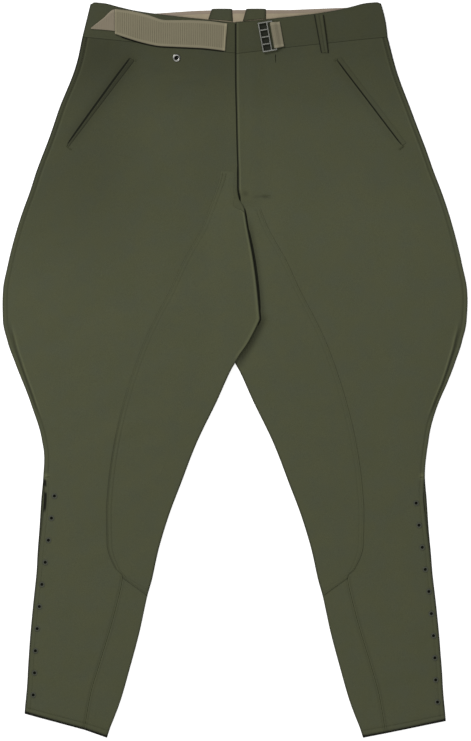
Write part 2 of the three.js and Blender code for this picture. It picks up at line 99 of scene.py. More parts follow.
# Sections from the waistband seam to the hem, as the CAD source has them, but the fly parts less at its end
# and the inner shin is up to 1.5 mm further in
SECTION_COLUMNS = (
    "side_x side_y seam_x seam_y inner_x inner_y right_lap left_lap right_over left_over tuck"
).split()
SECTION_NAMES = (
    "waist,hip,pocket,pocket end,fly tack,fly opens,fly end,fold starts,thigh,flare,widest,fold corner,"
    "fold end,crotch,lower thigh,above knee,slit top,knee,below knee,calf,patch end,shin,lower shin,ankle,hem"
).split(",")
SECTIONS = np.array(
    [
        (217, 473, 85, 459, 0, 449, 13, -1.1, 0, 1, 0),
        (231, 420, 74, 412, 0, 409, 13, -1.4, 0, 1, 0),
        (251, 365, 57, 359, 0, 358, 13, -2.6, 0, 1, 0),
        (271, 315, 36, 312, 0, 310, 13, -3.7, 0, 1, 0),
        (281, 284, 20, 283, 0, 281, 12, -4.7, 0, 1, 0),
        (290, 258, 26, 258, 0, 258, 3.4, -4.9, 0, 1, 0),
        (295, 244, 31, 244, 0, 244, 5.4, -8, 1, 1, 0),
        (300, 230, 36, 230, 0, 230, 13, -7.1, 1, 0, 0),
        (309, 202, 47, 202, 0, 202, 18, -4.3, 1, 0, 0),
        (322, 153, 74, 153, 0, 153, 27, -3.5, 1, 0, 0),
        (329, 114, 92, 114, 0, 114, 32, -2.8, 1, 0, 0),
        (330, 72, 114, 72, 0, 72, 36, -2.8, 1, 0, 0),
        (323, 40, 129, 40, 0, 40, 20, -2.1, 1, 0, 0),
        (311, 9, 141, 9, 0.3, 9, 0, 0, 1, 0, 0),
        (290, -44, 159, -48, 27, -47, 0, 0, 0.4, 0, 0),
        (275, -97, 172, -104, 55, -105, 0, 0, 0, 0, 0),
        (271, -145, 180, -159, 77, -162, 0, 0, 0, 0, 0),
        (274, -185, 183, -204, 94, -207, 0, 0, 0, 0, 4),
        (277, -227, 182, -248, 109, -257, 0, 0, 0, 0, 2.5),
        (280, -260, 171, -280, 118, -298, 0, 0, 0, 0, 1.5),
        (282, -287, 160, -295, 124.5, -321, 0, 0, 0, 0, 1),
        (288, -341, 173, -352, 135.6, -372, 0, 0, 0, 0, 1),
        (293, -398, 191, -412, 150, -426, 0, 0, 0, 0, 1),
        (295, -446, 205, -460, 163, -471, 0, 0, 0, 0, 1),
        (299, -490, 214, -510, 182, -520, 0, 0, 0, 0, 1),
    ],
    float,
)
LAST = len(SECTIONS) - 1
PATCH_END = SECTION_NAMES.index("patch end")
FOLD_STARTS = SECTION_NAMES.index("fold starts")
FLY_TACK = SECTION_NAMES.index("fly tack")

FRONT_TOP = ([0, 62, 114, 145, 166, 186, WAIST_WIDTH], [494, 500, 506, 511, 516, 521, 523])
BACK_TOP = {
    "left": ([0, 74, 102, 139, 166, WAIST_WIDTH], [512, 512, 513, 514.5, 515.5, 523]),
    "right": ([0, 50, 68, 98, 114, 150, 180, WAIST_WIDTH], [512, 511, 510, 508, 507, 508, 516, 523]),
}
SIGN = {"left": 1, "right": -1}

# The two sides' outlines differ by a millimetre or two from their common pattern: Y, then each side outward
SIDE_HEIGHTS = [473, 440, 375, 321, 281, 251, 202, 142, 102, 62]
SIDE_HEIGHTS += [-17, -57, -97, -116, -156, -236, -295, -395, -435, -490]
SIDE_SHIFTS = {
    "right": [0, -1.3, 1.6, -1.2, 0.8, 0, 0.5, 0.3, 1.0, 0],
    "left": [0, 0.2, 1.2, 0, 1.0, 2.0, 1.1, 0.2, 1.2, -0.8],
}
SIDE_SHIFTS["right"] += [1.6, 1.4, 0, -1.0, 1.7, 1.2, 0.2, -0.3, 0.4, 0.3]
SIDE_SHIFTS["left"] += [2.2, 0.1, 0.7, 0.1, -1.1, -1.5, -1.3, -1.0, 0.5, 0.8]
# How much higher each hem lies, from its outer end inwards
HEM_SHIFTS = {"right": [4.3, 1.2, 0], "left": [-6.2, -3.8, 0]}


def smooth_curve(knots, values, corners=()):
    """Monotone cubic v0 (1 - r) + v1 r + u (1 - u)((1 - u) m0 - u m1) h, r = 3u² - 2u³, bent at corners."""
    knots, values = np.asarray(knots, float), np.asarray(values, float)
    span = np.diff(knots)
    slope = np.diff(values) / span
    product, total = slope[:-1] * slope[1:], slope[:-1] + slope[1:]
    inner = np.where(product > 0, 2 * product / np.where(total == 0, 1, total), 0)
    tangent = np.concatenate([slope[:1], inner, slope[-1:]])
    leaving, arriving = tangent[:-1].copy(), tangent[1:].copy()
    for corner in corners:
        leaving[corner], arriving[corner - 1] = slope[corner], slope[corner - 1]

    def at(place):
        """The curve's value at a place, which is held within the knots."""
        place = np.clip(place, knots[0], knots[-1])
        i = np.clip(np.searchsorted(knots, place, side="right") - 1, 0, len(span) - 1)
        u = (place - knots[i]) / span[i]
        rise = 3 * u**2 - 2 * u**3
        bend = (u * leaving[i] * (1 - u) ** 2 - u * u * (1 - u) * arriving[i]) * span[i]
        return values[i] * (1 - rise) + values[i + 1] * rise + bend

    return at


column = {name: SECTIONS[:, i] for i, name in enumerate(SECTION_COLUMNS)}
FOLD_CORNER, CROTCH = SECTION_NAMES.index("fold corner"), SECTION_NAMES.index("crotch")
CORNERS = {"right_lap": (FOLD_CORNER, CROTCH), "inner_x": (CROTCH,)}
at_section = {
    name: smooth_curve(range(LAST + 1), column[name], CORNERS.get(name, ())) for name in SECTION_COLUMNS
}


def by_height(name, height):
    """A column of the table as a function of Y instead of the section's number."""
    curve = smooth_curve(-column[height], column[name])
    return lambda y: curve(-np.asarray(y, float))


side_at = by_height("side_x", "side_y")
side_shift = {leg: smooth_curve(-np.array(SIDE_HEIGHTS), SIDE_SHIFTS[leg]) for leg in SIGN}
inner_at = by_height("inner_x", "inner_y")
over_at = {leg: by_height(leg + "_over", "inner_y") for leg in SIGN}
front_top = smooth_curve(*FRONT_TOP)
back_tops = {leg: smooth_curve(*BACK_TOP[leg]) for leg in SIGN}


def back_top(x):
    """Height of the back waistband's edge, which differs a little between the sides."""
    return np.where(x > 0, back_tops["left"](np.abs(x)), back_tops["right"](np.abs(x)))


def ease(value, start, end):
    """0 before start, 1 after end, 3u² - 2u³ between them."""
    u = np.clip((np.asarray(value, float) - start) / (end - start), 0, 1)
    return u * u * (3 - 2 * u)


# Soft ridges of the front, as in the CAD source, and finer creases: a crease bows sideways by "bow" at its
# middle, and one with a share of "dip" has a trough of that share beside it
CREASES = {
    "left": [
        # from x, from y, to x, to y, width, height, bow, dip
        (48, 225, 92, 120, 16, 1.1, 0, 0),
        (120, 60, 205, 10, 18, 0.9, 0, 0),
        (75, -60, 190, -120, 17, 0.9, 0, 0),
        (255, 240, 230, 60, 22, 0.8, 0, 0),
        (190, -300, 240, -430, 16, 0.7, 0, 0),
        (38, 172, 96, 108, 7, 0.55, 3, 0.7),
        (20, 236, 94, 128, 8, 0.5, -5, 0.6),
        (52, 200, 150, 150, 9, 0.3, 8, 0.5),
        (140, 455, 215, 448, 5, 0.35, 2, 0.8),
        (70, 440, 150, 428, 8, 0.3, -3, 0.5),
        (225, 300, 285, 200, 11, 0.35, 6, 0.4),
        (150, 330, 250, 130, 14, 0.4, -12, 0.4),
        (110, 20, 270, 10, 12, 0.4, 9, 0.5),
        (60, -20, 200, -60, 10, 0.45, 8, 0.6),
        (95, -95, 250, -120, 11, 0.4, -8, 0.5),
        (110, -150, 230, -200, 10, 0.4, 6, 0.6),
        (130, -235, 265, -215, 11, 0.35, -7, 0.5),
        (160, -380, 280, -350, 10, 0.3, 6, 0.5),
        (190, -450, 285, -420, 9, 0.3, -5, 0.5),
        (148, 473, 176, 466, 4, 0.5, 1, 0.8),
        (180, 458, 222, 447, 5, 0.55, -2, 0.8),
        (14, 262, 34, 244, 4, 0.5, 1, 0.8),
        (12, 250, 26, 236, 3, 0.5, -1, 0.8),
        (238, 322, 262, 296, 5, 0.4, 1, 0.7),
    ],
    "right": [
        (105, 412, 22, 404, 16, 0.9, 0, 0),
        (60, 200, 130, 90, 18, 0.8, 0, 0),
        (250, 250, 215, 80, 22, 0.9, 0, 0),
        (80, -50, 195, -100, 17, 1.0, 0, 0),
        (185, -310, 235, -440, 16, 0.7, 0, 0),
        (138, 440, 68, 424, 6, 0.7, 2, 0.8),
        (108, 414, 12, 407, 5, 0.75, -2, 0.8),
        (95, 432, 25, 430, 6, 0.3, 2, 0.7),
        (20, 240, 85, 120, 10, 0.4, 6, 0.5),
        (205, 380, 150, 240, 14, 0.35, 8, 0.4),
        (120, 300, 230, 150, 15, 0.4, -10, 0.4),
        (290, 200, 240, 20, 13, 0.4, 8, 0.5),
        (30, 20, 170, -30, 11, 0.45, 9, 0.5),
        (60, -90, 240, -130, 11, 0.4, -8, 0.5),
        (105, -170, 250, -190, 11, 0.4, 7, 0.6),
        (125, -240, 260, -275, 10, 0.4, -6, 0.5),
        (150, -360, 280, -390, 11, 0.3, 7, 0.5),
        (185, -465, 280, -445, 9, 0.3, 4, 0.5),
        (150, 456, 130, 446, 4, 0.5, 1, 0.8),
        (175, 470, 215, 452, 5, 0.4, -2, 0.8),
        (240, 318, 266, 290, 5, 0.4, 1, 0.7),
    ],
}
BACK_CREASES = {
    "left": [
        (30, 400, 150, 330, 14, 0.7, 8, 0.3),
        (40, 290, 190, 250, 13, 0.8, -9, 0.3),
        (60, 180, 230, 120, 15, 0.8, 10, 0.3),
        (120, 40, 290, 30, 13, 0.8, -8, 0.3),
        (70, -60, 240, -110, 12, 0.9, 9, 0.4),
        (110, -150, 250, -170, 11, 0.9, -6, 0.4),
        (130, -230, 260, -240, 12, 0.7, 6, 0.4),
        (170, -370, 280, -400, 12, 0.6, -5, 0.3),
    ],
    "right": [
        (40, 380, 170, 350, 14, 0.7, -8, 0.3),
        (30, 270, 170, 300, 13, 0.7, 9, 0.3),
        (70, 150, 250, 170, 15, 0.8, -11, 0.3),
        (100, 20, 280, 60, 13, 0.8, 9, 0.3),
        (60, -70, 250, -90, 12, 0.9, -9, 0.4),
        (100, -160, 250, -140, 11, 0.9, 7, 0.4),
        (140, -250, 265, -220, 12, 0.7, -6, 0.4),
        (160, -400, 280, -370, 12, 0.6, 6, 0.3),
    ],
}


def creases(table, sign, x, y):
    """Sum of height sin(π share) (e^-(a/w)² - dip e^-((a - 1.7w)/w)²), a = distance from the bowed line."""
    height = 0 * x
    for from_x, from_y, to_x, to_y, width, lift, bow, dip in table:
        along_x, along_y = (to_x - from_x) * sign, to_y - from_y
        length = math.hypot(along_x, along_y)
        dx, dy = x - from_x * sign, y - from_y
        share = (dx * along_x + dy * along_y) / length**2
        swell = np.sin(np.pi * np.clip(share, 0, 1))
        beside = ((dx * along_y - dy * along_x) / length - bow * swell) / width
        height = height + lift * swell * (np.exp(-(beside**2)) - dip * np.exp(-((beside - 1.7) ** 2)))
    return height


rng = np.random.default_rng(4)
WAVE_LENGTHS, WAVE_HEIGHTS, WAVE_COUNT = (38, 120), (0.05, 0.14), 14


def random_wave():
    """One wave of the cloth: its number k, its direction t, its phase p and its height a."""
    number = 2 * np.pi / rng.uniform(*WAVE_LENGTHS)
    return number, rng.uniform(0, np.pi), rng.uniform(0, 2 * np.pi), rng.uniform(*WAVE_HEIGHTS)


WAVES = {part: [random_wave() for _ in range(WAVE_COUNT)] for part in ("left", "right", "back")}
WELT_RUN = np.array([WELT["to_x"] - WELT["from_x"], WELT["to_y"] - WELT["from_y"]], float)
WELT_LENGTH = float(np.hypot(*WELT_RUN))


def welt_distance(x, y):
    """How far a point lies outward from the pocket's line, and how far along it: dot products with the line."""
    dx, dy = WELT_RUN / WELT_LENGTH
    from_x, from_y = np.abs(x) - WELT["from_x"], y - WELT["from_y"]
    return dx * from_y - dy * from_x, dx * from_x + dy * from_y


def welt_point(leg, share, over):
    """Plan point of a pocket: a share of the way down its line, and over mm outward from the inner edge."""
    dx, dy = WELT_RUN
    out = (WELT_SIDES[leg]["shift"] + over) / WELT_LENGTH
    return SIGN[leg] * (WELT["from_x"] + dx * share - dy * out), WELT["from_y"] + dy * share + dx * out


def welt_width(leg, share):
    """The welt narrows evenly from its upper end to its lower one."""
    side = WELT_SIDES[leg]
    return side["top"] + (side["end"] - side["top"]) * share


def unevenness(leg, x, y):
    """Long low waves of cloth that was pressed and handled: sum of a sin(k (x cos t + y sin t) + p)."""
    return sum(a * np.sin(k * (x * np.cos(t) + y * np.sin(t)) + p) for k, t, p, a in WAVES[leg])


def seam_puckers(leg, x, y):
    """Short waves along the side seam and the waistband seam, which die out within a few centimetres."""
    from_side = side_at(y) - np.abs(x)
    side = 0.22 * np.sin(y / 3.3 + 2 * np.sin(y / 31)) * np.exp(-from_side / 9)
    from_waist = np.abs(y - 458)
    waist = 0.18 * np.sin(x / 3.1 + 2.2 * np.sin(x / 27)) * np.exp(-from_waist / 9)
    return side + waist


def stand_off(x, y):
    """0 at a leg's edges and 1 in its middle: a quarter sine over the width of each edge's roll."""
    outside = np.clip((side_at(y) - np.abs(x)) / OUTER_ROLL, 0, 1)
    flat = CENTRE_FLAT * ease(y, column["inner_y"][14], column["inner_y"][12])
    inside = np.clip((np.abs(x) - inner_at(y) - flat) / INNER_ROLL, 0, 1)
    return np.sin(np.pi / 2 * outside) * np.sin(np.pi / 2 * inside)


def groove_room(x, y):
    """How deep a sewn line may sink a front: a quarter of a millimetre at its edges, and more inside."""
    return stand_off(x, y) * 2 + 0.25


def back_rise(leg, x, y):
    """How far the back's creases lift it off the table, which is never more than about a millimetre."""
    soft = unevenness("back", x, y) * BACK_UNEVENNESS + creases(BACK_CREASES[leg], SIGN[leg], x, y)
    return np.clip(stand_off(x, y) * soft, 0, BACK_RISE)


def front_under(leg, x, y):
    """Underside of a front: off the back by a seam, crowned in the leg, raised over the lining and its lap."""
    edges = stand_off(x, y)
    waist = (LINING + SEAM) * ease(y, WAISTBAND_BOTTOM - 60, WAISTBAND_BOTTOM + 5)
    if leg == "left":
        lift = over_at[leg](y) * (CLOTH + REST) * (1 - ease(x, FLY_WIDTH, FLY_WIDTH + FLY_EASE))
    else:
        lift = over_at[leg](y) * (CLOTH + REST + PATCH + REST) * ease(x, -5 - FOLD_EASE, -5)
    soft = creases(CREASES[leg], SIGN[leg], x, y) + unevenness(leg, x, y) + seam_puckers(leg, x, y)
    return CLOTH + SEAM + waist + edges * (CROWN + soft) + lift


def front_top_side(leg, x, y):
    """Upper side of a front."""
    return front_under(leg, x, y) + CLOTH


def over_front(leg, lift=0.0):
    """The height at a lift over a front's upper side, as a function of X and Y."""
    return lambda x, y: front_top_side(leg, x, y) + lift


def patch_under(leg, x, y):
    """Underside of what lies on a front."""
    return front_top_side(leg, x, y) + REST


def leg_point(leg, down, across, edge_shift=0.0, back=False):
    """Plan point of a leg's pattern, with its inner edge edge_shift further from the centre."""
    at = {name: curve(down) for name, curve in at_section.items()}
    edge = np.maximum(at["inner_x"], SEAM) if back else at["inner_x"] - at[leg + "_lap"]
    outer = across <= 1
    share = np.where(outer, across, across - 1)
    side_x = at["side_x"] + side_shift[leg](-at["side_y"]) - (0 if back else at["tuck"])
    from_x = np.where(outer, side_x, at["seam_x"])
    from_y = np.where(outer, at["side_y"], at["seam_y"])
    to_x = np.where(outer, at["seam_x"], edge + edge_shift)
    to_y = np.where(outer, at["seam_y"], at["inner_y"])
    drop = HEM_DROP * np.clip((down - LAST + 0.25) / 0.25, 0, 1) if back else 0
    drop = drop - np.interp(across, [0, 1, 2], HEM_SHIFTS[leg]) * ease(down, LAST - 2.2, LAST)
    return SIGN[leg] * (from_x + (to_x - from_x) * share), from_y + (to_y - from_y) * share - drop


# Rows of a panel are a few millimetres apart down the leg, and closer where an edge rolls over
ROW_LENGTH = np.concatenate([[0], np.cumsum(-np.diff((column["side_y"] + column["inner_y"]) / 2))])
RIM = np.array([0, 0.06, 0.2, 0.42, 0.7, 1.0])
STITCHED = np.array([-1.6, -0.8, 0, 0.8, 1.6])


def down_at(length):
    """The section's number at a length down the leg."""
    return np.interp(length, ROW_LENGTH, np.arange(LAST + 1))


def stations(length, step, rim_start, rim_end, extra=()):
    """Places along a length, close together within each end's rim and round each extra place."""
    near = np.concatenate([RIM * rim_start, length - RIM * rim_end] + [place + STITCHED for place in extra])
    middle = np.linspace(rim_start, length - rim_end, max(3, round(length / step)))[1:-1]
    middle = middle[np.min(np.abs(middle[:, None] - near[None, :]), axis=1) > 0.35 * step]
    return np.unique(np.round(np.concatenate([near, middle]), 4))


def places_across(width, count, rim_start, rim_end, extra=()):
    """Places from 0 to each row's width: close in each rim and round the extra places, and even between."""
    near = np.unique(np.concatenate([RIM * rim_start] + [place + STITCHED for place in extra]))
    far = np.unique(RIM * rim_end)[::-1]
    even = near[-1] + (width - far[0] - near[-1]) * np.linspace(0, 1, count)[None, 1:-1]
    return np.concatenate([np.repeat(near[None], len(width), 0), even, width - far[None]], 1)


def rim_fullness(distance, radius):
    """0 at an edge and 1 from the radius inwards: sqrt(1 - (1 - d/r)²), a quarter round."""
    return np.sqrt(1 - (1 - np.clip(distance / radius, 0, 1)) ** 2)


def rims(*edges):
    """Product of the quarter rounds of several edges, each given as its distance and its radius."""
    full = 1.0
    for distance, radius in edges:
        full = full * rim_fullness(distance, radius)
    return full


def grid_faces(index):
    """The four corners of each cell of a grid of vertex numbers."""
    return np.stack([index[:-1, :-1], index[1:, :-1], index[1:, 1:], index[:-1, 1:]], -1).reshape(-1, 4)


def volume(points, faces):
    """Signed volume that the faces enclose, as a sum over fans of triangles."""
    a, b, c, d = (points[faces[:, i]] for i in range(4))
    fans = np.einsum("ij,ij->i", a, np.cross(b, c)) + np.einsum("ij,ij->i", a, np.cross(c, d))
    return float(fans.sum() / 6)


def closed_shell(middle, normal, half, cells=None):
    """Points and faces of a sheet over a grid: middle ± normal half, without the cells marked False. Both sides
    share their points wherever half is 0, and half is set to 0 all round the rim, which closes the sheet."""
    rows, columns = half.shape
    cells = np.ones((rows - 1, columns - 1), bool) if cells is None else cells
    around = np.zeros((rows, columns), int)
    for i in (0, 1):
        for j in (0, 1):
            around[i : rows - 1 + i, j : columns - 1 + j] += cells
    half = np.where(around == 4, half, 0.0)[..., None]
    points = np.concatenate([(middle + normal * half).reshape(-1, 3), (middle - normal * half).reshape(-1, 3)])
    top_index = np.arange(rows * columns).reshape(rows, columns)
    low_index = np.where(half[..., 0] > 0, top_index + rows * columns, top_index)
    top_faces, low_faces = (grid_faces(index)[cells.ravel()] for index in (top_index, low_index))
    faces = np.concatenate([top_faces, low_faces[:, ::-1]])
    return points, faces if volume(points, faces) > 0 else faces[:, ::-1]


def closed_sheet(x, y, under, thickness, fullness, cells=None, sink=1.0):
    """A sheet over a height: its rim, where fullness is 0, drops by "sink" of half a thickness."""
    middle = under + thickness / 2 * (1 - sink * (1 - fullness))
    up = np.broadcast_to([0.0, 0.0, 1.0], x.shape + (3,))
    return closed_shell(np.stack([x, y, middle], -1), up, fullness * thickness / 2, cells)


def joined(parts):
    """Several (points, faces) as one, the faces of four corners each (a triangle repeats its last corner)."""
    counts = np.cumsum([0] + [len(points) for points, _ in parts])
    return (
        np.concatenate([points for points, _ in parts]),
        np.concatenate([faces + counts[i] for i, (_, faces) in enumerate(parts)]),
    )


# Materials


def linear(colour):
    """An sRGB colour of 0 to 255 in linear light."""
    c = np.array(colour) / 255
    return tuple(np.where(c <= 0.04045, c / 12.92, ((c + 0.055) / 1.055) ** 2.4)) + (1.0,)


class Shader:
    """A material's node tree: each call adds a node, with plain values or other nodes' sockets as inputs."""

    def __init__(self, name):
        """A new material with its surface node."""
        self.material = bpy.data.materials.new(name)
        self.material.use_nodes = True
        self.tree = self.material.node_tree
        self.surface = self.tree.nodes["Principled BSDF"]

    def add(self, kind, inputs=(), out=0, **settings):
        """A node with these settings and inputs; returns its output socket."""
        node = self.tree.nodes.new("ShaderNode" + kind)
        for key, value in settings.items():
            setattr(node, key, value)
        for key, value in dict(inputs).items():
            self.put(node.inputs[key], value)
        return node.outputs[out]

    def put(self, socket, value):
        """Links a socket, or sets its plain value."""
        if isinstance(value, bpy.types.NodeSocket):
            self.tree.links.new(value, socket)
        else:
            socket.default_value = value

    def finish(self, **sockets):
        """Sets the surface's own sockets, such as Base_Color."""
        for key, value in sockets.items():
            self.put(self.surface.inputs[key.replace("_", " ")], value)
        return self.material

    def place(self):
        """The object's own coordinates, in metres."""
        return self.add("TexCoord", out="Object")

    def own_map(self):
        """The piece's own map, in metres."""
        return self.add("UVMap", uv_map="UVMap")

    def noise(self, place, size, detail=2.0, rough=0.5):
        """Noise with features of about this size in metres."""
        return self.add("TexNoise", {"Vector": place, "Scale": 1 / size, "Detail": detail, "Roughness": rough})

    def stripes(self, place, direction, pitch, wander=None):
        """sin(2π (place · direction) / pitch + wander)."""
        reach = [2 * np.pi / pitch * d for d in direction]
        run = self.add("VectorMath", {0: place, 1: reach}, operation="DOT_PRODUCT", out="Value")
        if wander is not None:
            run = self.plus(run, wander)
        return self.add("Math", {0: run}, operation="SINE")

    def math(self, operation, a, b=0.0):
        """One sum of two values, such as ADD."""
        return self.add("Math", {0: a, 1: b}, operation=operation)

    def times(self, a, b):
        """a times b."""
        return self.math("MULTIPLY", a, b)

    def plus(self, a, b):
        """a plus b."""
        return self.math("ADD", a, b)

    def mixed(self, share, a, b):
        """Colour a where share is 0 and b where it is 1."""
        return self.add("Mix", {0: share, 6: a, 7: b}, data_type="RGBA", out=2)

    def ramp(self, value, low, high):
        """value from low..high to 0..1, clamped."""
        return self.add("MapRange", {0: value, 1: low, 2: high})

    def shaded(self, tone, colour):
        """The tone darkened by the points' own "shade" above 0, as painted shade, and paler below 0, as a
        painted highlight.
        """
        shade = self.add("Attribute", attribute_name="shade", out="Fac")
        tone = self.mixed(self.ramp(shade, 0.0, 1.0), tone, linear([c * 0.25 for c in colour]))
        pale = self.ramp(self.times(shade, -1.0), 0.0, 1.0)
        return self.mixed(pale, tone, linear([min(255, c * 1.5) for c in colour]))

    def bump(self, height, distance, strength=1.0, below=None):
        """A bumpy surface of this height, over the one below it."""
        inputs = {"Height": height, "Distance": distance, "Strength": strength}
        if below is not None:
            inputs["Normal"] = below
        return self.add("Bump", inputs)


def wool_twill(name, colour, greener, greyer, twill=0.0011):
    """Napped wool twill: uneven dye, fine diagonal ribs, painted shade in seams and folds, painted highlights
    on edges.
    """
    m = Shader(name)
    place = m.place()
    broad = m.ramp(m.noise(place, 0.07, 3.0, 0.6), 0.35, 0.68)
    beside = m.add("VectorMath", {0: place, 1: (1.7, 0.4, 0.2)}, operation="ADD")
    cloudy = m.ramp(m.noise(beside, 0.03, 4.0, 0.6), 0.4, 0.7)
    tone = m.mixed(broad, linear(colour), linear(greener))
    tone = m.mixed(cloudy, tone, linear(greyer))
    grain = m.noise(place, 0.0009, 3.0, 0.7)
    ribs = m.stripes(place, (0.83, 0.56, 0.35), twill, m.times(grain, 3.0))
    dark_yarn, pale_yarn = (linear([c * strength for c in colour]) for strength in (0.8, 1.2))
    yarn = m.mixed(m.ramp(grain, 0.3, 0.7), dark_yarn, pale_yarn)
    tone = m.shaded(m.mixed(0.4, tone, yarn), colour)
    fold = m.bump(m.noise(place, 0.011, 2.0, 0.5), 0.0006, 0.45)
    weave = m.bump(m.plus(m.times(ribs, 0.5), grain), 0.00022, 0.6, fold)
    return m.finish(
        Base_Color=tone,
        Roughness=0.92,
        Specular_IOR_Level=0.15,
        Sheen_Weight=0.12,
        Sheen_Roughness=0.5,
        Sheen_Tint=linear((150, 154, 128)),
        Normal=weave,
    )


def plain_metal(name, colour, roughness=0.45, metallic=1.0):
    """Plain metal with faint handling marks."""
    m = Shader(name)
    marks = m.noise(m.place(), 0.002, 4.0, 0.7)
    uneven = m.add("MapRange", {0: marks, 1: 0.3, 2: 0.7, 3: roughness - 0.12, 4: roughness + 0.12})
    return m.finish(
        Base_Color=linear(colour), Metallic=metallic, Roughness=uneven, Normal=m.bump(marks, 0.00006, 0.4)
    )


def flat_colour(name, colour, roughness=0.9):
    """One colour, such as the dark of a hole."""
    return Shader(name).finish(Base_Color=linear(colour), Roughness=roughness, Specular_IOR_Level=0.1)


def ribbed_webbing(name, colour, pale, dark, pitch=0.003, width=0.039):
    """Cotton webbing: cross ribs of pale and dark yarn along U, and plain selvedges at both edges of V."""
    m = Shader(name)
    place = m.own_map()
    over = m.add("SeparateXYZ", {0: place}, out=1)
    fine = m.noise(m.place(), 0.0012, 3.0, 0.7)
    broad = m.noise(m.place(), 0.012, 2.0, 0.5)
    ribs = m.stripes(place, (1, 0, 0), pitch, m.times(fine, 1.6))
    uneven_ribs = m.plus(ribs, m.times(fine, 1.2))
    yarn = m.mixed(m.ramp(uneven_ribs, -0.6, 1.9), linear(dark), linear(pale))
    tone = m.mixed(m.ramp(broad, 0.3, 0.75), yarn, linear(colour))
    from_middle = m.math("ABSOLUTE", m.math("SUBTRACT", over, width / 2))
    selvedge = m.ramp(from_middle, width / 2 - 0.0046, width / 2 - 0.0034)
    tone = m.mixed(selvedge, tone, linear([min(255, c * 1.05 + 4) for c in colour]))
    # painted shade and painted highlights from the points' own "shade"
    tone = m.shaded(tone, colour)
    cross = m.stripes(place, (0, 1, 0), 0.0011)
    height = m.plus(m.times(cross, 0.25), m.times(fine, 0.9))
    return m.finish(
        Base_Color=tone,
        Roughness=0.88,
        Specular_IOR_Level=0.2,
        Sheen_Weight=0.1,
        Normal=m.bump(height, 0.0002, 0.6),
    )


def cotton_drill(name, colour, binding):
    """Close plain cotton of the lining, with a greyer binding in the first 5 mm of V."""
    m = Shader(name)
    place = m.place()
    from_top = m.add("SeparateXYZ", {0: m.own_map()}, out=1)
    tone = m.mixed(m.ramp(from_top, 0.0046, 0.0052), linear(binding), linear(colour))
    faded = m.mixed(0.5, tone, linear([c * 0.88 for c in colour]))
    tone = m.mixed(m.ramp(m.noise(place, 0.02, 3.0, 0.6), 0.35, 0.7), tone, faded)
    grain = m.noise(place, 0.0008, 3.0, 0.7)
    weave = m.plus(m.stripes(place, (1, 0, 0), 0.0009), m.stripes(place, (0, 1, 0), 0.0009))
    folds = m.bump(m.noise(place, 0.009, 2.0, 0.5), 0.0008, 0.5)
    return m.finish(
        Base_Color=tone,
        Roughness=0.88,
        Specular_IOR_Level=0.2,
        Normal=m.bump(m.plus(m.times(weave, 0.2), grain), 0.0002, 0.6, folds),
    )


SERGE = wool_twill("olive wool twill", (80, 82, 60), (77, 80, 58), (76, 80, 64))
PATCH_SERGE = wool_twill("olive wool twill of the saddle patches", (80, 82, 60), (77, 80, 58), (75, 79, 63))
THREAD = flat_colour("olive sewing thread", (76, 79, 57))
STRAP_WEBBING = ribbed_webbing("khaki webbing", (119, 113, 92), (134, 127, 104), (96, 92, 74), 0.00305)
TAB_WEBBING = ribbed_webbing(
    "khaki webbing at the buckle", (121, 115, 95), (131, 124, 103), (108, 103, 85), 0.0022, 0.037
)
FOLD_WEBBING = ribbed_webbing("khaki webbing turned over", (127, 118, 101), (133, 124, 106), (118, 109, 93))
LINING_COTTON = cotton_drill("tan cotton lining", (157, 145, 122), (145, 131, 117))
BUCKLE_METAL = plain_metal("grey plated steel", (116, 117, 111))
RING_METAL = plain_metal("bright plated steel", (134, 134, 129), 0.3)
EYELET_METAL = plain_metal("olive painted eyelets", (58, 61, 46), 0.6, 0.1)
# The last three colours are painted shade: in holes, on the cloth under the buckle's windows, and in folds and
# openings.
PAINTED_HOLE_SHADE = flat_colour("painted shade in a hole", (16, 17, 13))
PAINTED_BUCKLE_SHADE = flat_colour("painted shade behind the buckle", (38, 40, 33))
PAINTED_FOLD_SHADE = flat_colour("painted shade of a fold", (27, 29, 21))

# Making objects


def make_object(name, shape, materials, nodes=(), marks=None, own_map=None, shade=None):
    """A piece from (points in mm, faces of four corners): rides on the breeches, stands for the CAD nodes."""
    points, faces = shape
    used, faces = np.unique(faces, return_inverse=True)
    if own_map is not None:
        own_map = own_map[used % len(own_map)]
    if shade is not None:
        shade = shade.ravel()[used % shade.size]
    points, faces = points[used], faces.reshape(-1, 4)
    mesh = bpy.data.meshes.new(name)
    corners = [row[:3] if row[2] == row[3] else row for row in faces.tolist()]
    mesh.from_pydata((points / 1000).tolist(), [], corners)
    for material in materials if isinstance(materials, (list, tuple)) else [materials]:
        mesh.materials.append(material)
    if marks is not None:
        mesh.polygons.foreach_set("material_index", np.asarray(marks, np.int32))
    if own_map is not None:
        layer = mesh.uv_layers.new(name="UVMap")
        corner_vertex = np.zeros(len(mesh.loops), np.int32)
        mesh.loops.foreach_get("vertex_index", corner_vertex)
        layer.data.foreach_set("uv", (own_map / 1000)[corner_vertex].astype(np.float32).ravel())
    if shade is not None:
        layer = mesh.attributes.new("shade", "FLOAT", "POINT")
        layer.data.foreach_set("value", np.clip(shade, -1, 1).astype(np.float32))
    mesh.shade_smooth()
    mesh.validate()
    piece = bpy.data.objects.new(name, mesh)
    bpy.context.scene.collection.objects.link(piece)
    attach(piece, "root")
    if nodes:
        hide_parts(*nodes)
    return piece


def flat_map(u, v):
    """A piece's own map in millimetres, over its grid."""
    return np.stack(np.broadcast_arrays(u, v), -1).reshape(-1, 2)


SHEETS = {}


def declare(piece, x, y, shape, rests_on, size=None):
    """Notes a piece as a sheet of cloth cut flat to its own plan, which is half of its closed shell's."""
    points, faces = shape
    a, b, c, d = (points[faces[:, i], :2] for i in range(4))
    across, along = c - a, d - b
    area = float(np.abs(across[:, 0] * along[:, 1] - across[:, 1] * along[:, 0]).sum() / 4) / 1e6
    width, length = size or (float(np.ptp(x)), float(np.ptp(y)))
    SHEETS[piece.name] = [piece, (width / 1000, length / 1000), rests_on, area, []]


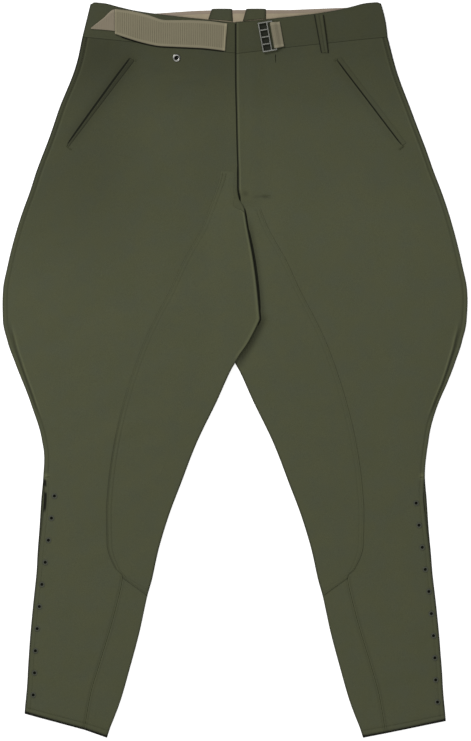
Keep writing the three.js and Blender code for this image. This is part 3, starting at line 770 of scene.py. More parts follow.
def cloth_sheet(node, rests_on, x, y, shape, shade, material=SERGE, own_map=None):
    """A piece of cloth that stands for one node, noted as a sheet."""
    piece = make_object(f"cloth_{node}", shape, material, [node], own_map=own_map, shade=shade)
    declare(piece, x, y, shape, rests_on)
    return piece


def panel_rows(start, end, step, rim_start, rim_end, extra=(), extra_from_end=()):
    """Section numbers down a panel, and each row's distance from its two ends."""
    first, last = np.interp([start, end], np.arange(LAST + 1), ROW_LENGTH)
    extra = list(extra) + [last - first - place for place in extra_from_end]
    places = stations(last - first, step, rim_start, rim_end, extra)
    return down_at(first + places)[:, None], places[:, None], (last - first - places)[:, None]


def row_width(leg, down, part, edge_shift=0.0, back=False):
    """Width of the outer part (0) or the inner part (1) of a pattern's rows."""
    x0, y0 = leg_point(leg, down, np.full_like(down, part + 1e-9 * part), edge_shift, back)
    x1, y1 = leg_point(leg, down, np.full_like(down, part + 1.0), edge_shift, back)
    return np.hypot(x1 - x0, y1 - y0)


FOLDED, CUT, WOVEN, SEWN = 3.0, 1.2, 0.8, 0.6  # radius of a turned, a cut, a woven and a sewn edge
# How far the sewn lines lie inside their edges
HEM_STITCH, SIDE_STITCH, SHIN_STITCH, WELT_STITCH, POCKET_STITCH = 7.0, 6.5, 2.2, 1.6, 9.0
PATCH_STITCHES = (2.4, 7.2)
BAND_HEIGHT, BAND_STITCHES = 50.0, (3.5, 45.0)
# The gap beside a seam, and how far a patch and a welt lie over the front
SEAM_GAP, PATCH_LIFT, WELT_LIFT = 0.3, 0.3, 0.15
# The rows of points down a panel
ROW_STEP, BACK_ROW_STEP = 3.3, 4.2
SIDE_PLACES = (4.2, SIDE_STITCH, 9.5, 12.5)  # rows of points beside the side seam, for its ridges
EDGE_ROOM = 1e-3  # a row within this of a step counts as the step's own


def groove(distance, place, depth=0.3, width=1.1):
    """A stitched line's valley: depth e^-((d - place)/width)²."""
    return depth * np.exp(-(((distance - place) / width) ** 2))


def line(distance, place, width):
    """e^-((d - place)/width)²: how much of a line's tone there is at a distance."""
    return np.exp(-(((distance - place) / width) ** 2))


def two_parts(leg, down, counts, seam_rim, extra=(), back=False):
    """Places over both parts of a pattern's rows: across as the pattern counts it, the distances from the
    side, from the seam and from the inner edge, and the number of the seam's column."""
    outer_width, inner_width = (row_width(leg, down, part, 0.0, back) for part in (0, 1))
    outer = places_across(outer_width, counts[0], FOLDED, seam_rim, extra)
    inner = places_across(inner_width, counts[1], 0, FOLDED)[:, 1:]
    across = np.concatenate([outer / outer_width, 1 + inner / inner_width], 1)
    from_side = np.concatenate([outer, outer_width + inner], 1)
    from_seam, from_inner = outer_width - from_side, outer_width + inner_width - from_side
    return across, from_side, from_seam, from_inner, outer.shape[1] - 1


# strengths of the painted shade at an edge and of the painted highlight beside a lapped edge
EDGE_DARK, EDGE_PALE = 0.62, 0.32
# Sections over which the fly's lap ends, the crotch's fold starts and ends, and the inner outline starts
FLY_LAP_END, FOLD_START, FOLD_END, OUTLINE_START = (5.0, 5.6), (6.9, 7.3), (12.6, 13), (12.8, 13.2)


def outline(distance):
    """Dark of a folded edge that turns away from the light."""
    return EDGE_DARK * line(distance, 0, 1.5)


def fold_edge(distance):
    """Painted shade under a lapped edge, with a painted pale line just inside it."""
    return 0.9 * line(distance, 0, 1.0) - EDGE_PALE * line(distance, 2.5, 1.0)


def lapped(leg, down):
    """1 where a leg's inner edge is seen on the other leg: the left's along the fly, the right's below it."""
    if leg == "left":
        return 1 - ease(down, *FLY_LAP_END)
    return ease(down, *FOLD_START) * (1 - ease(down, *FOLD_END))


def inner_edge_shade(leg, down, distance):
    """Shade along a leg's inner edge: a lapped edge, a hidden one, or the outline below the crotch."""
    return lapped(leg, down) * fold_edge(distance) + ease(down, *OUTLINE_START) * outline(distance)


FOLD_LINE = smooth_curve(
    -column["inner_y"][FOLD_STARTS : FOLD_STARTS + 7],
    (column["right_lap"] - column["inner_x"])[FOLD_STARTS : FOLD_STARTS + 7],
    (FOLD_CORNER - FOLD_STARTS,),
)


def fold_shadow(x, y):
    """The soft shadow on the left leg beside the right leg's fold."""
    beyond = x - FOLD_LINE(-y)
    below_corner = 0.36 * line(beyond, 5.0, 6.5) * ease(-y, -84, -60) * (1 - ease(-y, -10, 0))
    return below_corner + 0.32 * line(beyond, 3.0, 4.5) * ease(-y, -228, -190) * (1 - ease(-y, -20, -8))


def hem_shade(distance):
    """The hem's outline and the valley of its sewn line."""
    return outline(distance) + 0.12 * line(distance, HEM_STITCH, 1.0)


def shin_seam_shade(distance, dark):
    """The shin's seam: a painted pale line that lightens its shadow, and painted soft shade beside it."""
    return dark * line(distance, 1.9, 1.6) - 0.5 * line(distance, 0, 0.6)


def patch_stitch_shade(distance):
    """The valleys of the patch's two sewn lines."""
    return 0.12 * sum(line(distance, place, 0.9) for place in PATCH_STITCHES)


def side_edge_shade(leg, y, distance):
    """Painted shade along the side: the outline, the seam strip's valley, and the calf slit's open top, with
    painted pale lines on ridges.
    """
    # painted shade of the deep fold beside the seam strip between the widest point and the knee, with a painted
    # pale line
    streak = ease(-y, -75, -40) * (1 - ease(-y, 45, 75)) * (1.0 if leg == "left" else 0.7)
    place = 5.4 + 4.4 * ease(y, -50, 60)
    # painted shade in the strip itself, plainer on the hip, and a painted highlight on its ridge
    upper = ease(y, 150, 330)
    strip = (0.16 + 0.2 * upper) * line(distance, SIDE_STITCH, 1.3) * ease(y, -150, -140)
    strip = strip + upper * (0.3 * line(distance, 0, 2.2) - 0.16 * line(distance, SIDE_STITCH + 3, 1.1))
    strip = strip + streak * (0.62 * line(distance, place, 1.7) - 0.35 * line(distance, place + 3.4, 1.2))
    # painted shade in the slit's two open lengths, and a paler spot painted at its bar tack
    slit = ease(-y, 172, 175) * (1 - ease(-y, 196, 204))
    slit = slit + ease(-y, 154, 157) * (1 - ease(-y, 163, 167))
    reach = 5.0 if leg == "right" else 1.5
    pale = 0.5 * line(y, -151, 3.5) * line(distance, 4.5, 3.5)
    return outline(distance) + strip + 0.9 * slit * (1 - ease(distance, reach - 1.5, reach)) - pale


# Soft dark round the bar tacks at the fly's end: X, Y, half width, half height, strength
TACK_SHADES = [(42.7, 246.5, 6.5, 2.0, 0.42), (14.7, 250.5, 4.0, 3.4, 0.3), (30, 246, 5, 2.4, 0.15)]


def hip_shade(leg, x, y):
    """The shade towards the waist, deeper on the right hip, and the soft hollow along each pocket's mouth."""
    reach = np.abs(x)
    out, run = welt_distance(x, y)
    along = ease(run, -12, 12) * (1 - ease(run, 130, 160))
    if leg == "right":
        deep = (0.13 + 0.13 * ease(reach, 110, 200)) * ease(y, 60, 330)
        return 0.24 * ease(y, 335, 465) + deep + 0.15 * along * line(out, 4.5, 9)
    deep = 0.09 * ease(y, 200, 330) * (1 - 0.9 * ease(y, 380, 440))
    return 0.3 * ease(y, 335, 465) + deep + 0.07 * along * line(out, -3.5, 5)


def side_seam_depth(y):
    """The seam's strip is pulled in most between the widest point and the knee."""
    return 0.3 + 0.45 * ease(-y, -120, -50) * (1 - ease(-y, 60, 110))


def make_front_panel(leg):
    """The front: full width down to just under the patch's end, and only outside the shin seam below it."""
    step = np.interp(PATCH_END, np.arange(LAST + 1), ROW_LENGTH) - 3.0
    down, from_top, from_hem = panel_rows(0, LAST, ROW_STEP, SEWN, FOLDED, [step], [HEM_STITCH])
    across, from_side, from_seam, from_inner, seam_column = two_parts(leg, down, (56, 34), SEWN, SIDE_PLACES)
    x, y = leg_point(leg, down, across)
    above = from_top <= step + EDGE_ROOM
    full = rims((from_side, FOLDED), (from_top, SEWN), (from_hem, FOLDED))
    full = full * np.where(above, rim_fullness(from_inner, FOLDED), rim_fullness(from_seam, SEWN))
    full[:, seam_column + 1 :] *= rim_fullness(step - from_top, CUT)
    cells = np.ones((len(down) - 1, x.shape[1] - 1), bool)
    cells[:, seam_column:] = above[1:]
    sunk = groove(from_side, SIDE_STITCH, side_seam_depth(y), 1.5) + groove(from_hem, HEM_STITCH)
    under = front_under(leg, x, y) - np.minimum(sunk, groove_room(x, y))
    shape = closed_sheet(x, y, under, CLOTH, full, cells)
    # painted shade and painted highlights: along the edges, seams and hem, towards the waist, and beside the
    # fold and the bar tacks
    shade = side_edge_shade(leg, y, from_side) + inner_edge_shade(leg, down, from_inner)
    shade = shade + hem_shade(from_hem) + hip_shade(leg, x, y)
    if leg == "left":
        shade = shade + fold_shadow(x, y)
        for place_x, place_y, wide, high, dark in TACK_SHADES:
            shade = shade + dark * line(x, place_x, wide) * line(y, place_y, high)
    shade = shade + shin_seam_shade(from_seam, 0.2) * ~above
    return cloth_sheet(f"front_panel_{leg}", [f"cloth_back_panel_{leg}"], x, y, shape, shade)


def make_shin_panel(leg):
    """The shin's inner panel, from under the patch's lower end to the hem."""
    down, from_top, from_hem = panel_rows(PATCH_END - 0.07, LAST, ROW_STEP, CUT, FOLDED, (), [HEM_STITCH])
    width = row_width(leg, down, 1)
    places = places_across(width - SEAM_GAP, 24, SEWN, FOLDED)
    x, y = leg_point(leg, down, 1 + (SEAM_GAP + places) / width)
    full = rims((places, SEWN), (width - SEAM_GAP - places, FOLDED), (from_top, CUT), (from_hem, FOLDED))
    under = front_under(leg, x, y) - groove(from_hem, HEM_STITCH, 0.2)
    shape = closed_sheet(x, y, under, CLOTH, full)
    # painted shade at the outline, hem and seam, with a painted pale line on the seam
    shade = outline(width - SEAM_GAP - places) + hem_shade(from_hem) + shin_seam_shade(places, 0.16)
    return cloth_sheet(f"shin_panel_{leg}", [f"cloth_back_panel_{leg}"], x, y, shape, shade)


# The right patch reaches up beside the fly, where it keeps clear of the left front
PATCH_TOP = {"left": FOLD_STARTS, "right": FLY_TACK}
PATCH_CLEAR = 0.4
RIGHT_PATCH_CLEAR = smooth_curve([4, 5, 6, *FOLD_START, LAST], [14.5, 5.5, 6.5, 14, PATCH_CLEAR, PATCH_CLEAR])


def patch_edge_shift(leg, down):
    """How far the patch's inner edge stands back from the front's."""
    return RIGHT_PATCH_CLEAR(down) if leg == "right" else PATCH_CLEAR + 0 * down


def patch_seam_strength(leg, y):
    """How plainly the patch's seam shows: faint beside the crotch, plain at the right knee."""
    if leg == "right":
        return 0.52 + 0.48 * ease(-y, 20, 110)
    return 0.42 + 0.18 * ease(-y, 250, 300)


def make_saddle_patch(leg):
    """The saddle patch on the inner leg, stitched twice along its outer edge and its lower end."""
    down, from_top, from_end = panel_rows(PATCH_TOP[leg], PATCH_END, ROW_STEP, CUT, CUT, (), PATCH_STITCHES)
    shift = patch_edge_shift(leg, down)
    width = row_width(leg, down, 1, shift)
    places = places_across(width, 38, CUT, FOLDED, PATCH_STITCHES)
    x, y = leg_point(leg, down, 1 + 1e-9 + places / width, shift)
    full = rims((places, CUT), (width - places, FOLDED), (from_top, CUT), (from_end, CUT))
    plain = patch_seam_strength(leg, y)
    sunk = sum(groove(places, place) * (from_end > place - 1) for place in PATCH_STITCHES)
    sunk = (sunk + sum(groove(from_end, place) * (places > place - 1) for place in PATCH_STITCHES)) * plain
    thin = 1 - 0.8 * np.exp(-from_top / 9)
    thin = thin * (1 - 0.94 * np.exp(-(width - places) / 10) * (1 - ease(down, 6.7, 7.3)))
    under = front_top_side(leg, x, y) + PATCH_LIFT * thin
    shape = closed_sheet(x, y, under, (PATCH - np.minimum(sunk, 0.5)) * thin, full)
    # painted shade along the seams, turning to a painted pale line where the seam shows faintly, and along the
    # lapped edge
    seam = (0.75 * plain - 0.39) * line(places, 0.3, 1.3) + plain * patch_stitch_shade(places)
    end = (0.75 * plain - 0.4) * line(from_end, 0, 0.9) + plain * patch_stitch_shade(from_end)
    shade = (seam + end) * thin + inner_edge_shade(leg, down, width - places) * ease(down, *FOLD_START)
    if leg == "left":
        shade = shade + fold_shadow(x, y)
    rests_on = [f"cloth_front_panel_{leg}"]
    return cloth_sheet(f"saddle_patch_{leg}", rests_on, x, y, shape, shade, PATCH_SERGE)


def waist_point(leg, up, across, back=False):
    """Plan point of a waistband: up runs from 0 at its seam to 1 at its top edge."""
    seam_x, seam_y = leg_point(leg, np.zeros_like(across), across, 0.0, back)
    reach, drop, bow = TOP_CORNER[leg]
    top_x = seam_x * reach / column["side_x"][0]
    top_y = back_top(top_x) if back else front_top(np.abs(top_x))
    top_y = top_y - drop * ease(np.abs(top_x), reach - 6, reach)
    bowed = SIGN[leg] * bow * np.sin(np.pi * np.asarray(up)) * ease(np.abs(top_x), 120, reach)
    return seam_x + (top_x - seam_x) * up + bowed, seam_y + (top_y - seam_y) * up


def make_waistband(leg, back=False):
    """The waistband of a front or a back, folded over at its top edge and stitched at both."""
    places = stations(BAND_HEIGHT, 2.6, SEWN, FOLDED, BAND_STITCHES)[:, None]
    across, from_side, _, from_inner, _ = two_parts(leg, np.zeros((1, 1)), (56, 42), 0, (), back)
    from_top = BAND_HEIGHT - places
    x, y = waist_point(leg, places / BAND_HEIGHT, np.repeat(across, len(places), 0), back)
    full = rims((from_side, FOLDED), (from_inner, FOLDED), (places, SEWN), (from_top, FOLDED))
    sunk = sum(groove(places, place, 0.22) for place in BAND_STITCHES)
    if back:
        shape = closed_sheet(x, y, sunk + 0 * x, CLOTH - sunk, full, sink=0)
        rests_on = ["pale_table"]
    else:
        shape = closed_sheet(x, y, front_under(leg, x, y) - sunk, CLOTH, full)
        rests_on = ["cloth_waist_lining"]
    # the band darkened all over, painted shade at its side and top edges, and on the left front the lapped
    # edge's painted shade and pale line
    shade = 0.36 + outline(from_side) + 0.6 * outline(from_top)
    if leg == "left" and not back:
        shade = shade + fold_edge(from_inner)
    half = "back" if back else "front"
    return cloth_sheet(f"{half}_waistband_{leg}", rests_on, x, y, shape, shade + 0 * x)


def make_back_panel(leg):
    """The back, without the place of its saddle patch: the inner part is left out between two steps."""
    first, second = np.interp([FLY_TACK, PATCH_END], np.arange(LAST + 1), ROW_LENGTH)
    down, from_top, from_hem = panel_rows(0, LAST, BACK_ROW_STEP, CUT, FOLDED, [first, second], [HEM_STITCH])
    parts = two_parts(leg, down, (40, 24), CUT, [SIDE_STITCH], True)
    across, from_side, from_seam, from_inner, seam_column = parts
    x, y = leg_point(leg, down, across, 0.0, True)
    apart = (from_top > first + EDGE_ROOM) & (from_top < second - EDGE_ROOM)
    full = rims((from_side, FOLDED), (from_top, CUT), (from_hem, FOLDED))
    full = full * np.where(apart, rim_fullness(from_seam, CUT), rim_fullness(from_inner, FOLDED))
    to_step = np.where(from_top < (first + second) / 2, first - from_top, from_top - second)
    full[:, seam_column + 1 :] *= rim_fullness(to_step, CUT)
    cells = np.ones((len(down) - 1, x.shape[1] - 1), bool)
    cells[:, seam_column:] = (from_top[1:] <= first + EDGE_ROOM) | (from_top[:-1] >= second - EDGE_ROOM)
    sunk = groove(from_side, SIDE_STITCH) + groove(from_hem, HEM_STITCH)
    shape = closed_sheet(x, y, back_rise(leg, x, y) + sunk, CLOTH - sunk, full, cells, sink=0)
    # painted shade along the hem and the side, and in the side seam's valley
    shade = 0.9 * (1 - ease(from_hem, 3.5, 6)) + 0.8 * (1 - ease(from_side, 1, 4))
    shade = shade + 0.3 * line(from_side, SIDE_STITCH, 1.2)
    return cloth_sheet(f"back_panel_{leg}", ["pale_table"], x, y, shape, shade)


def make_back_patch(leg):
    """The back half of the saddle patch, let in between the back's outer part and the inner leg."""
    down, from_top, from_end = panel_rows(FLY_TACK, PATCH_END, BACK_ROW_STEP, CUT, CUT)
    width = row_width(leg, down, 1, 0.0, True)
    places = places_across(width - SEAM_GAP, 26, CUT, FOLDED, PATCH_STITCHES)
    x, y = leg_point(leg, down, 1 + (SEAM_GAP + places) / width, 0.0, True)
    y = y - SEAM_GAP * (1 - from_top / (from_top[-1] / 2))
    full = rims((places, CUT), (width - SEAM_GAP - places, FOLDED), (from_top, CUT), (from_end, CUT))
    sunk = sum(groove(places, place) for place in PATCH_STITCHES)
    shape = closed_sheet(x, y, back_rise(leg, x, y) + sunk, CLOTH - sunk, full, sink=0)
    # painted shade along the seam and in the sewn lines' valleys
    shade = 0.4 * line(places, 0, 1.0) + patch_stitch_shade(places) + 0 * x
    node = f"back_saddle_patch_{leg}"
    return cloth_sheet(node, ["pale_table"], x, y, shape, shade, PATCH_SERGE)


def make_lining():
    """The cotton facing inside the back waistband, its top edge bound in a narrow turned strip."""
    x = stations(2 * LINING_REACH, 3.0, CUT, CUT)[None, :] - LINING_REACH
    places = stations(LINING_DEPTH, 1.4, CUT, CUT, [LINING_BINDING])[:, None]
    top = back_top(x) - 0.4
    y = top - places
    x = np.repeat(x, len(places), 0)
    full = rims((LINING_REACH - np.abs(x), CUT), (places, CUT), (LINING_DEPTH - places, CUT))
    binding = 0.35 * (1 - ease(places, 4.2, 5.2)) - groove(places, LINING_BINDING, 0.15, 0.5)
    ripple = 0.12 * np.sin(x / 5.1 + 2 * np.sin(x / 23)) * np.exp(-((places - 7) ** 2) / 60)
    shape = closed_sheet(x, y, CLOTH + SEAM + 0 * x, LINING + binding + ripple, full)
    rests_on = ["cloth_back_waistband_left", "cloth_back_waistband_right"]
    own_map = flat_map(x, places)
    return cloth_sheet("waist_lining", rests_on, x, y, shape, None, LINING_COTTON, own_map)


def make_back_loop(leg):
    """A belt loop turned over the back waistband's edge and sewn down below the front's edge."""
    top_from, top_to, low_from, low_to = BACK_LOOPS[leg]
    side, top, low = 0.06, 0.14, 0.05
    share = stations(1.0, 0.09, side, side)[None, :]
    places = stations(1.0, 0.09, top, low)[:, None]
    low_x = low_from + (low_to - low_from) * share
    x = top_from + (top_to - top_from) * share + (low_x - top_from - (top_to - top_from) * share) * places
    low_y = front_top(np.abs(low_x)) + 1.1
    y = BACK_LOOP_TOP - 0.5 * np.abs(2 * share - 1) ** 4 + (low_y - BACK_LOOP_TOP) * places
    from_side = np.minimum(share, 1 - share)
    full = rims((from_side, side), (places, top), (1 - places, low))
    thickness = LOOP["thickness"] * (0.85 + 0.2 * line(from_side, 0.1, 0.05)) + 0 * x
    shape = closed_sheet(x, y, CLOTH + LINING + 2 * SEAM + 0.2 + 0 * x, thickness, full)
    # darkened all over, with painted shade at its sides and top edge
    shade = 0.3 + 0.5 * line(from_side, 0, 0.05) + 0.3 * line(places, 0, 0.1)
    return cloth_sheet(f"back_loop_{leg}", ["cloth_waist_lining"], x, y, shape, shade)


def strip_point(rows, along, over):
    """Plan point of a strip between the smooth curves through its upper and its lower edge's points."""
    curve = [smooth_curve(range(len(rows)), [row[i] for row in rows]) for i in range(4)]
    top_x, top_y, low_x, low_y = (c(along * (len(rows) - 1)) for c in curve)
    return top_x + (low_x - top_x) * over, top_y + (low_y - top_y) * over


def make_strap():
    """The belt end: webbing with raised cross ribs of yarn, smooth selvedges and a sealed cut end."""
    length, width, rib = 165.0, 38.5, 3.05
    places = stations(length, 0.5, WOVEN, WOVEN)[:, None]
    over = stations(width, 1.6, WOVEN, WOVEN)[None, :]
    x, y = strip_point(STRAP, places / length, over / width)
    from_edge = np.minimum(over, width - over)
    full = rims((from_edge, WOVEN), (places, WOVEN), (length - places, WOVEN))
    ribs = 0.11 * np.sin(2 * np.pi * x / rib) * ease(from_edge, 3.4, 4.6)
    lift = (WEBBING + REST) * (1 - ease(places / length, 0.18, 0.4))
    sag = 0.35 * np.sin(places / 21 + 0.6) * np.sin(np.pi * over / width)
    under = patch_under("right", x, y) + lift + np.maximum(sag, 0)
    shape = closed_sheet(x, y, under, WEBBING + ribs, full, sink=0)
    # painted shade at the folded start with a painted pale line beside it, a painted pale line at the free end,
    # and painted shade along both edges
    shade = 0.75 * line(places, 0, 1.0) - 0.4 * line(places, 2.2, 0.8) - 0.3 * line(places, length - 2, 1.5)
    shade = shade + 0.3 * line(from_edge, 0, 0.7)
    own_map = flat_map(x, over)
    piece = make_object(
        "webbing_belt_strap", shape, STRAP_WEBBING, ["belt_strap"], own_map=own_map, shade=shade
    )
    declare(piece, x, y, shape, ["cloth_front_waistband_right"], (width + 0.5, length + 2))


def make_strap_fold():
    """The belt's folded corner, which shows the webbing's smooth inner side."""
    length, width = 60.0, 34.0
    places = stations(length, 1.4, WOVEN, WOVEN)[:, None]
    over = stations(width, 1.4, WOVEN, WOVEN)[None, :]
    x, y = strip_point(STRAP_FOLD, places / length, over / width)
    full = rims((np.minimum(over, width - over), WOVEN), (places, WOVEN), (length - places, WOVEN))
    shape = closed_sheet(x, y, patch_under("right", x, y), WEBBING + 0 * x, full, sink=0)
    own_map = flat_map(places, over)
    piece = make_object(
        "webbing_strap_fold", shape, FOLD_WEBBING, ["belt_strap_fold"], own_map=own_map
    )
    declare(piece, x, y, shape, ["cloth_front_waistband_right"])


def make_belt_loop():
    """The belt loop: a tube of cloth pressed flat, with thick edges, sewn down at both ends."""
    (top_x, top_y, top_width), (low_x, low_y, low_width) = LOOP["top"], LOOP["bottom"]
    end, side = 0.03, 0.12
    share = stations(1.0, 0.03, end, end)[:, None]
    over = stations(1.0, 0.07, side, side)[None, :]
    width = top_width + (low_width - top_width) * share
    x = top_x + (low_x - top_x) * share + width * over
    y = top_y + (low_y - top_y) * share + 0 * over
    rail = line(np.abs(2 * over - 1), 0.62, 0.2)
    from_side = np.minimum(over, 1 - over)
    full = rims((from_side, side), (np.minimum(share, 1 - share), end))
    arch = LOOP["arch"] * np.sin(np.pi * share) ** 0.7
    thickness = LOOP["thickness"] * (0.7 + 0.45 * rail)
    shape = closed_sheet(x, y, patch_under("left", x, y) + arch, thickness + 0 * x, full, sink=0)
    # painted shade on both sides and down the middle, and the loop darkened all over
    shade = 0.85 * line(from_side, 0, side) + 0.25 * line(over, 0.5, 0.08) + 0.3 + 0 * x
    return cloth_sheet("belt_loop", ["cloth_front_waistband_left"], x, y, shape, shade)


def make_welt(leg):
    """The pocket's welt: its open edge stands up along the mouth and the other thins into the front."""
    places = stations(WELT_LENGTH, 2.0, CUT, CUT)[:, None]
    share = places / WELT_LENGTH
    width = welt_width(leg, share)
    over = stations(1.0, 0.1, 0.1, 0.1)[None, :] * width
    x, y = welt_point(leg, share, over)
    ends = np.minimum(places, WELT_LENGTH - places)
    full = rims((np.minimum(over, width - over), 0.7), (ends, CUT))
    opens_outward = WELT_SIDES[leg]["open"] == "outer"
    from_mouth = width - over if opens_outward else over
    thickness = WELT["thickness"] * (1.15 - 0.85 * from_mouth / width)
    shape = closed_sheet(x, y, front_top_side(leg, x, y) + WELT_LIFT, thickness, full)
    far_edge, whole = (0.25, 0.1) if opens_outward else (0.12, 0.04)
    # painted shade along the mouth and the far edge, the hip's painted shade, and the whole welt a little
    # darker
    shade = 0.7 * line(from_mouth, 0, 0.6) + far_edge * line(width - from_mouth, 0, 0.8)
    shade = shade + hip_shade(leg, x, y) + whole
    return make_object(f"cloth_pocket_welt_{leg}", shape, SERGE, [f"pocket_welt_{leg}"], shade=shade)


# Threads and metal


def closed_tube(rings):
    """Points and faces of a tube over (ring, point, xyz): quads between rings, and a fan at each end."""
    count, around = rings.shape[:2]
    index = np.arange(count * around).reshape(count, around)
    wrapped = np.concatenate([index, index[:, :1]], 1)
    points = np.concatenate([rings.reshape(-1, 3), rings[:1].mean(1), rings[-1:].mean(1)])
    start, end = np.full(around, count * around), np.full(around, count * around + 1)
    start_fan = np.stack([wrapped[0, 1:], wrapped[0, :-1], start, start], -1)
    end_fan = np.stack([wrapped[-1, :-1], wrapped[-1, 1:], end, end], -1)
    faces = np.concatenate([grid_faces(wrapped), start_fan, end_fan])
    return points, faces if volume(points, faces) > 0 else turned(faces)


def turned(faces):
    """The faces the other way round, with a triangle's repeated corner still last."""
    flipped = faces[:, ::-1].copy()
    triangle = faces[:, 2] == faces[:, 3]
    flipped[triangle] = faces[triangle][:, [1, 0, 2, 2]]
    return flipped


def path_points(path, pitch):
    """Points at an even pitch along a line of plan points, with the line's direction there."""
    path = np.asarray(path, float)
    steps = np.hypot(*np.diff(path, axis=0).T)
    length = np.concatenate([[0], np.cumsum(steps)])
    at = (np.arange(int(length[-1] / pitch)) + 0.5) * pitch
    points = np.stack([np.interp(at, length, path[:, i]) for i in (0, 1)], -1)
    ahead, behind = (
        np.stack([np.interp(at + step, length, path[:, i]) for i in (0, 1)], -1) for step in (0.5, -0.5)
    )
    along = ahead - behind
    return points, along / np.linalg.norm(along, axis=1, keepdims=True)


GRAIN_RINGS = np.radians([30, 72, 108, 150])
GRAIN_AROUND = np.radians([0, 72, 144, 216, 288])


def stitch_row(path, surface, length=2.3, pitch=3.1, width=0.34, height=0.3, slant=0.0):
    """A row of stitches as grains: along L/2 cos p, across w sin p cos q, up h sin p sin q over the surface."""
    points, along = path_points(path, pitch)
    turn = np.stack([-along[:, 1], along[:, 0]], -1)
    c, s = math.cos(slant), math.sin(slant)
    along, turn = along * c + turn * s, turn * c - along * s
    p, q = GRAIN_RINGS[:, None], GRAIN_AROUND[None, :]
    lengthwise = length / 2 * np.cos(p) + 0 * q
    crosswise, upward = width * np.sin(p) * np.cos(q), height * np.sin(p) * np.sin(q)
    shape, faces = closed_tube(np.stack([lengthwise, crosswise, upward], -1))
    x = points[:, None, 0] + shape[:, 0] * along[:, None, 0] + shape[:, 1] * turn[:, None, 0]
    y = points[:, None, 1] + shape[:, 0] * along[:, None, 1] + shape[:, 1] * turn[:, None, 1]
    z = surface(x, y) + shape[None, :, 2]
    points = np.stack([x, y, z], -1)
    offsets = np.arange(len(points))[:, None, None] * len(shape)
    return points.reshape(-1, 3), (faces[None] + offsets).reshape(-1, 4)


def bar_tack(x, y, direction, surface, length=8.0, width=1.9):
    """A bar of close cross stitches at the end of an opening."""
    angle = math.radians(direction)
    half = np.array([math.cos(angle), math.sin(angle)]) * length / 2
    path = [np.array([x, y]) - half, np.array([x, y]) + half]
    return stitch_row(path, surface, width, 0.55, 0.3, 0.42, math.radians(82))


def along_side(leg, inset, start, end, back=False, steps=160):
    """The line at a distance inside a leg's side edge."""
    down = np.linspace(start, end, steps)[:, None]
    x, y = leg_point(leg, down, inset / row_width(leg, down, 0, 0.0, back), 0.0, back)
    return np.concatenate([x, y], 1)


def along_patch(leg, inset, start, end, back=False, steps=120):
    """The line at a distance inside the saddle patch's outer edge."""
    down = np.linspace(start, end, steps)[:, None]
    shift = 0.0 if back else patch_edge_shift(leg, down)
    x, y = leg_point(leg, down, 1 + 1e-9 + inset / row_width(leg, down, 1, shift, back), shift, back)
    return np.concatenate([x, y], 1)


def across_leg(leg, length_from_end, start, end, back=False, steps=60):
    """The line across a leg at a distance above its hem."""
    across = np.linspace(start, end, steps)[None, :]
    down = down_at(np.array([[ROW_LENGTH[-1] - length_from_end]]))
    x, y = leg_point(leg, down, across, 0.0, back)
    return np.stack([x[0], y[0]], 1)


def along_waist(leg, height, back=False, steps=80):
    """The line along a waistband at a height above its seam."""
    across = np.linspace(0.04, 1.9, steps)[None, :]
    x, y = waist_point(leg, np.full((1, 1), height / BAND_HEIGHT), across, back)
    return np.stack([x[0], y[0]], 1)


def painted_shadow_ribbon(path, surface, width, taper=6.0):
    """Painted shade in a fold or an opening: a closed ribbon of shadow colour, thinned to its ends over the
    taper.
    """
    pitch, lift, half_height = 2.0, 0.1, 0.07
    points, along = path_points(path, pitch)
    turn = np.stack([-along[:, 1], along[:, 0]], -1)
    run = (np.arange(len(points)) + 0.5) * pitch
    narrow = rim_fullness(np.minimum(run, pitch * len(points) - run), taper)
    around = np.linspace(0, 2 * np.pi, 8, endpoint=False)
    side = np.cos(around)[None, :] * (width / 2 * narrow)[:, None]
    x, y = points[:, :1] + turn[:, :1] * side, points[:, 1:] + turn[:, 1:] * side
    return closed_tube(np.stack([x, y, surface(x, y) + lift + half_height * np.sin(around)], -1))


def lap_line(leg, start, end, beyond, steps=90):
    """The line beyond a lapped edge, on the cloth that the edge lies on."""
    down = np.linspace(start, end, steps)[:, None]
    x, y = leg_point(leg, down, np.full_like(down, 2.0))
    return np.concatenate([x - SIGN[leg] * beyond, y], 1)


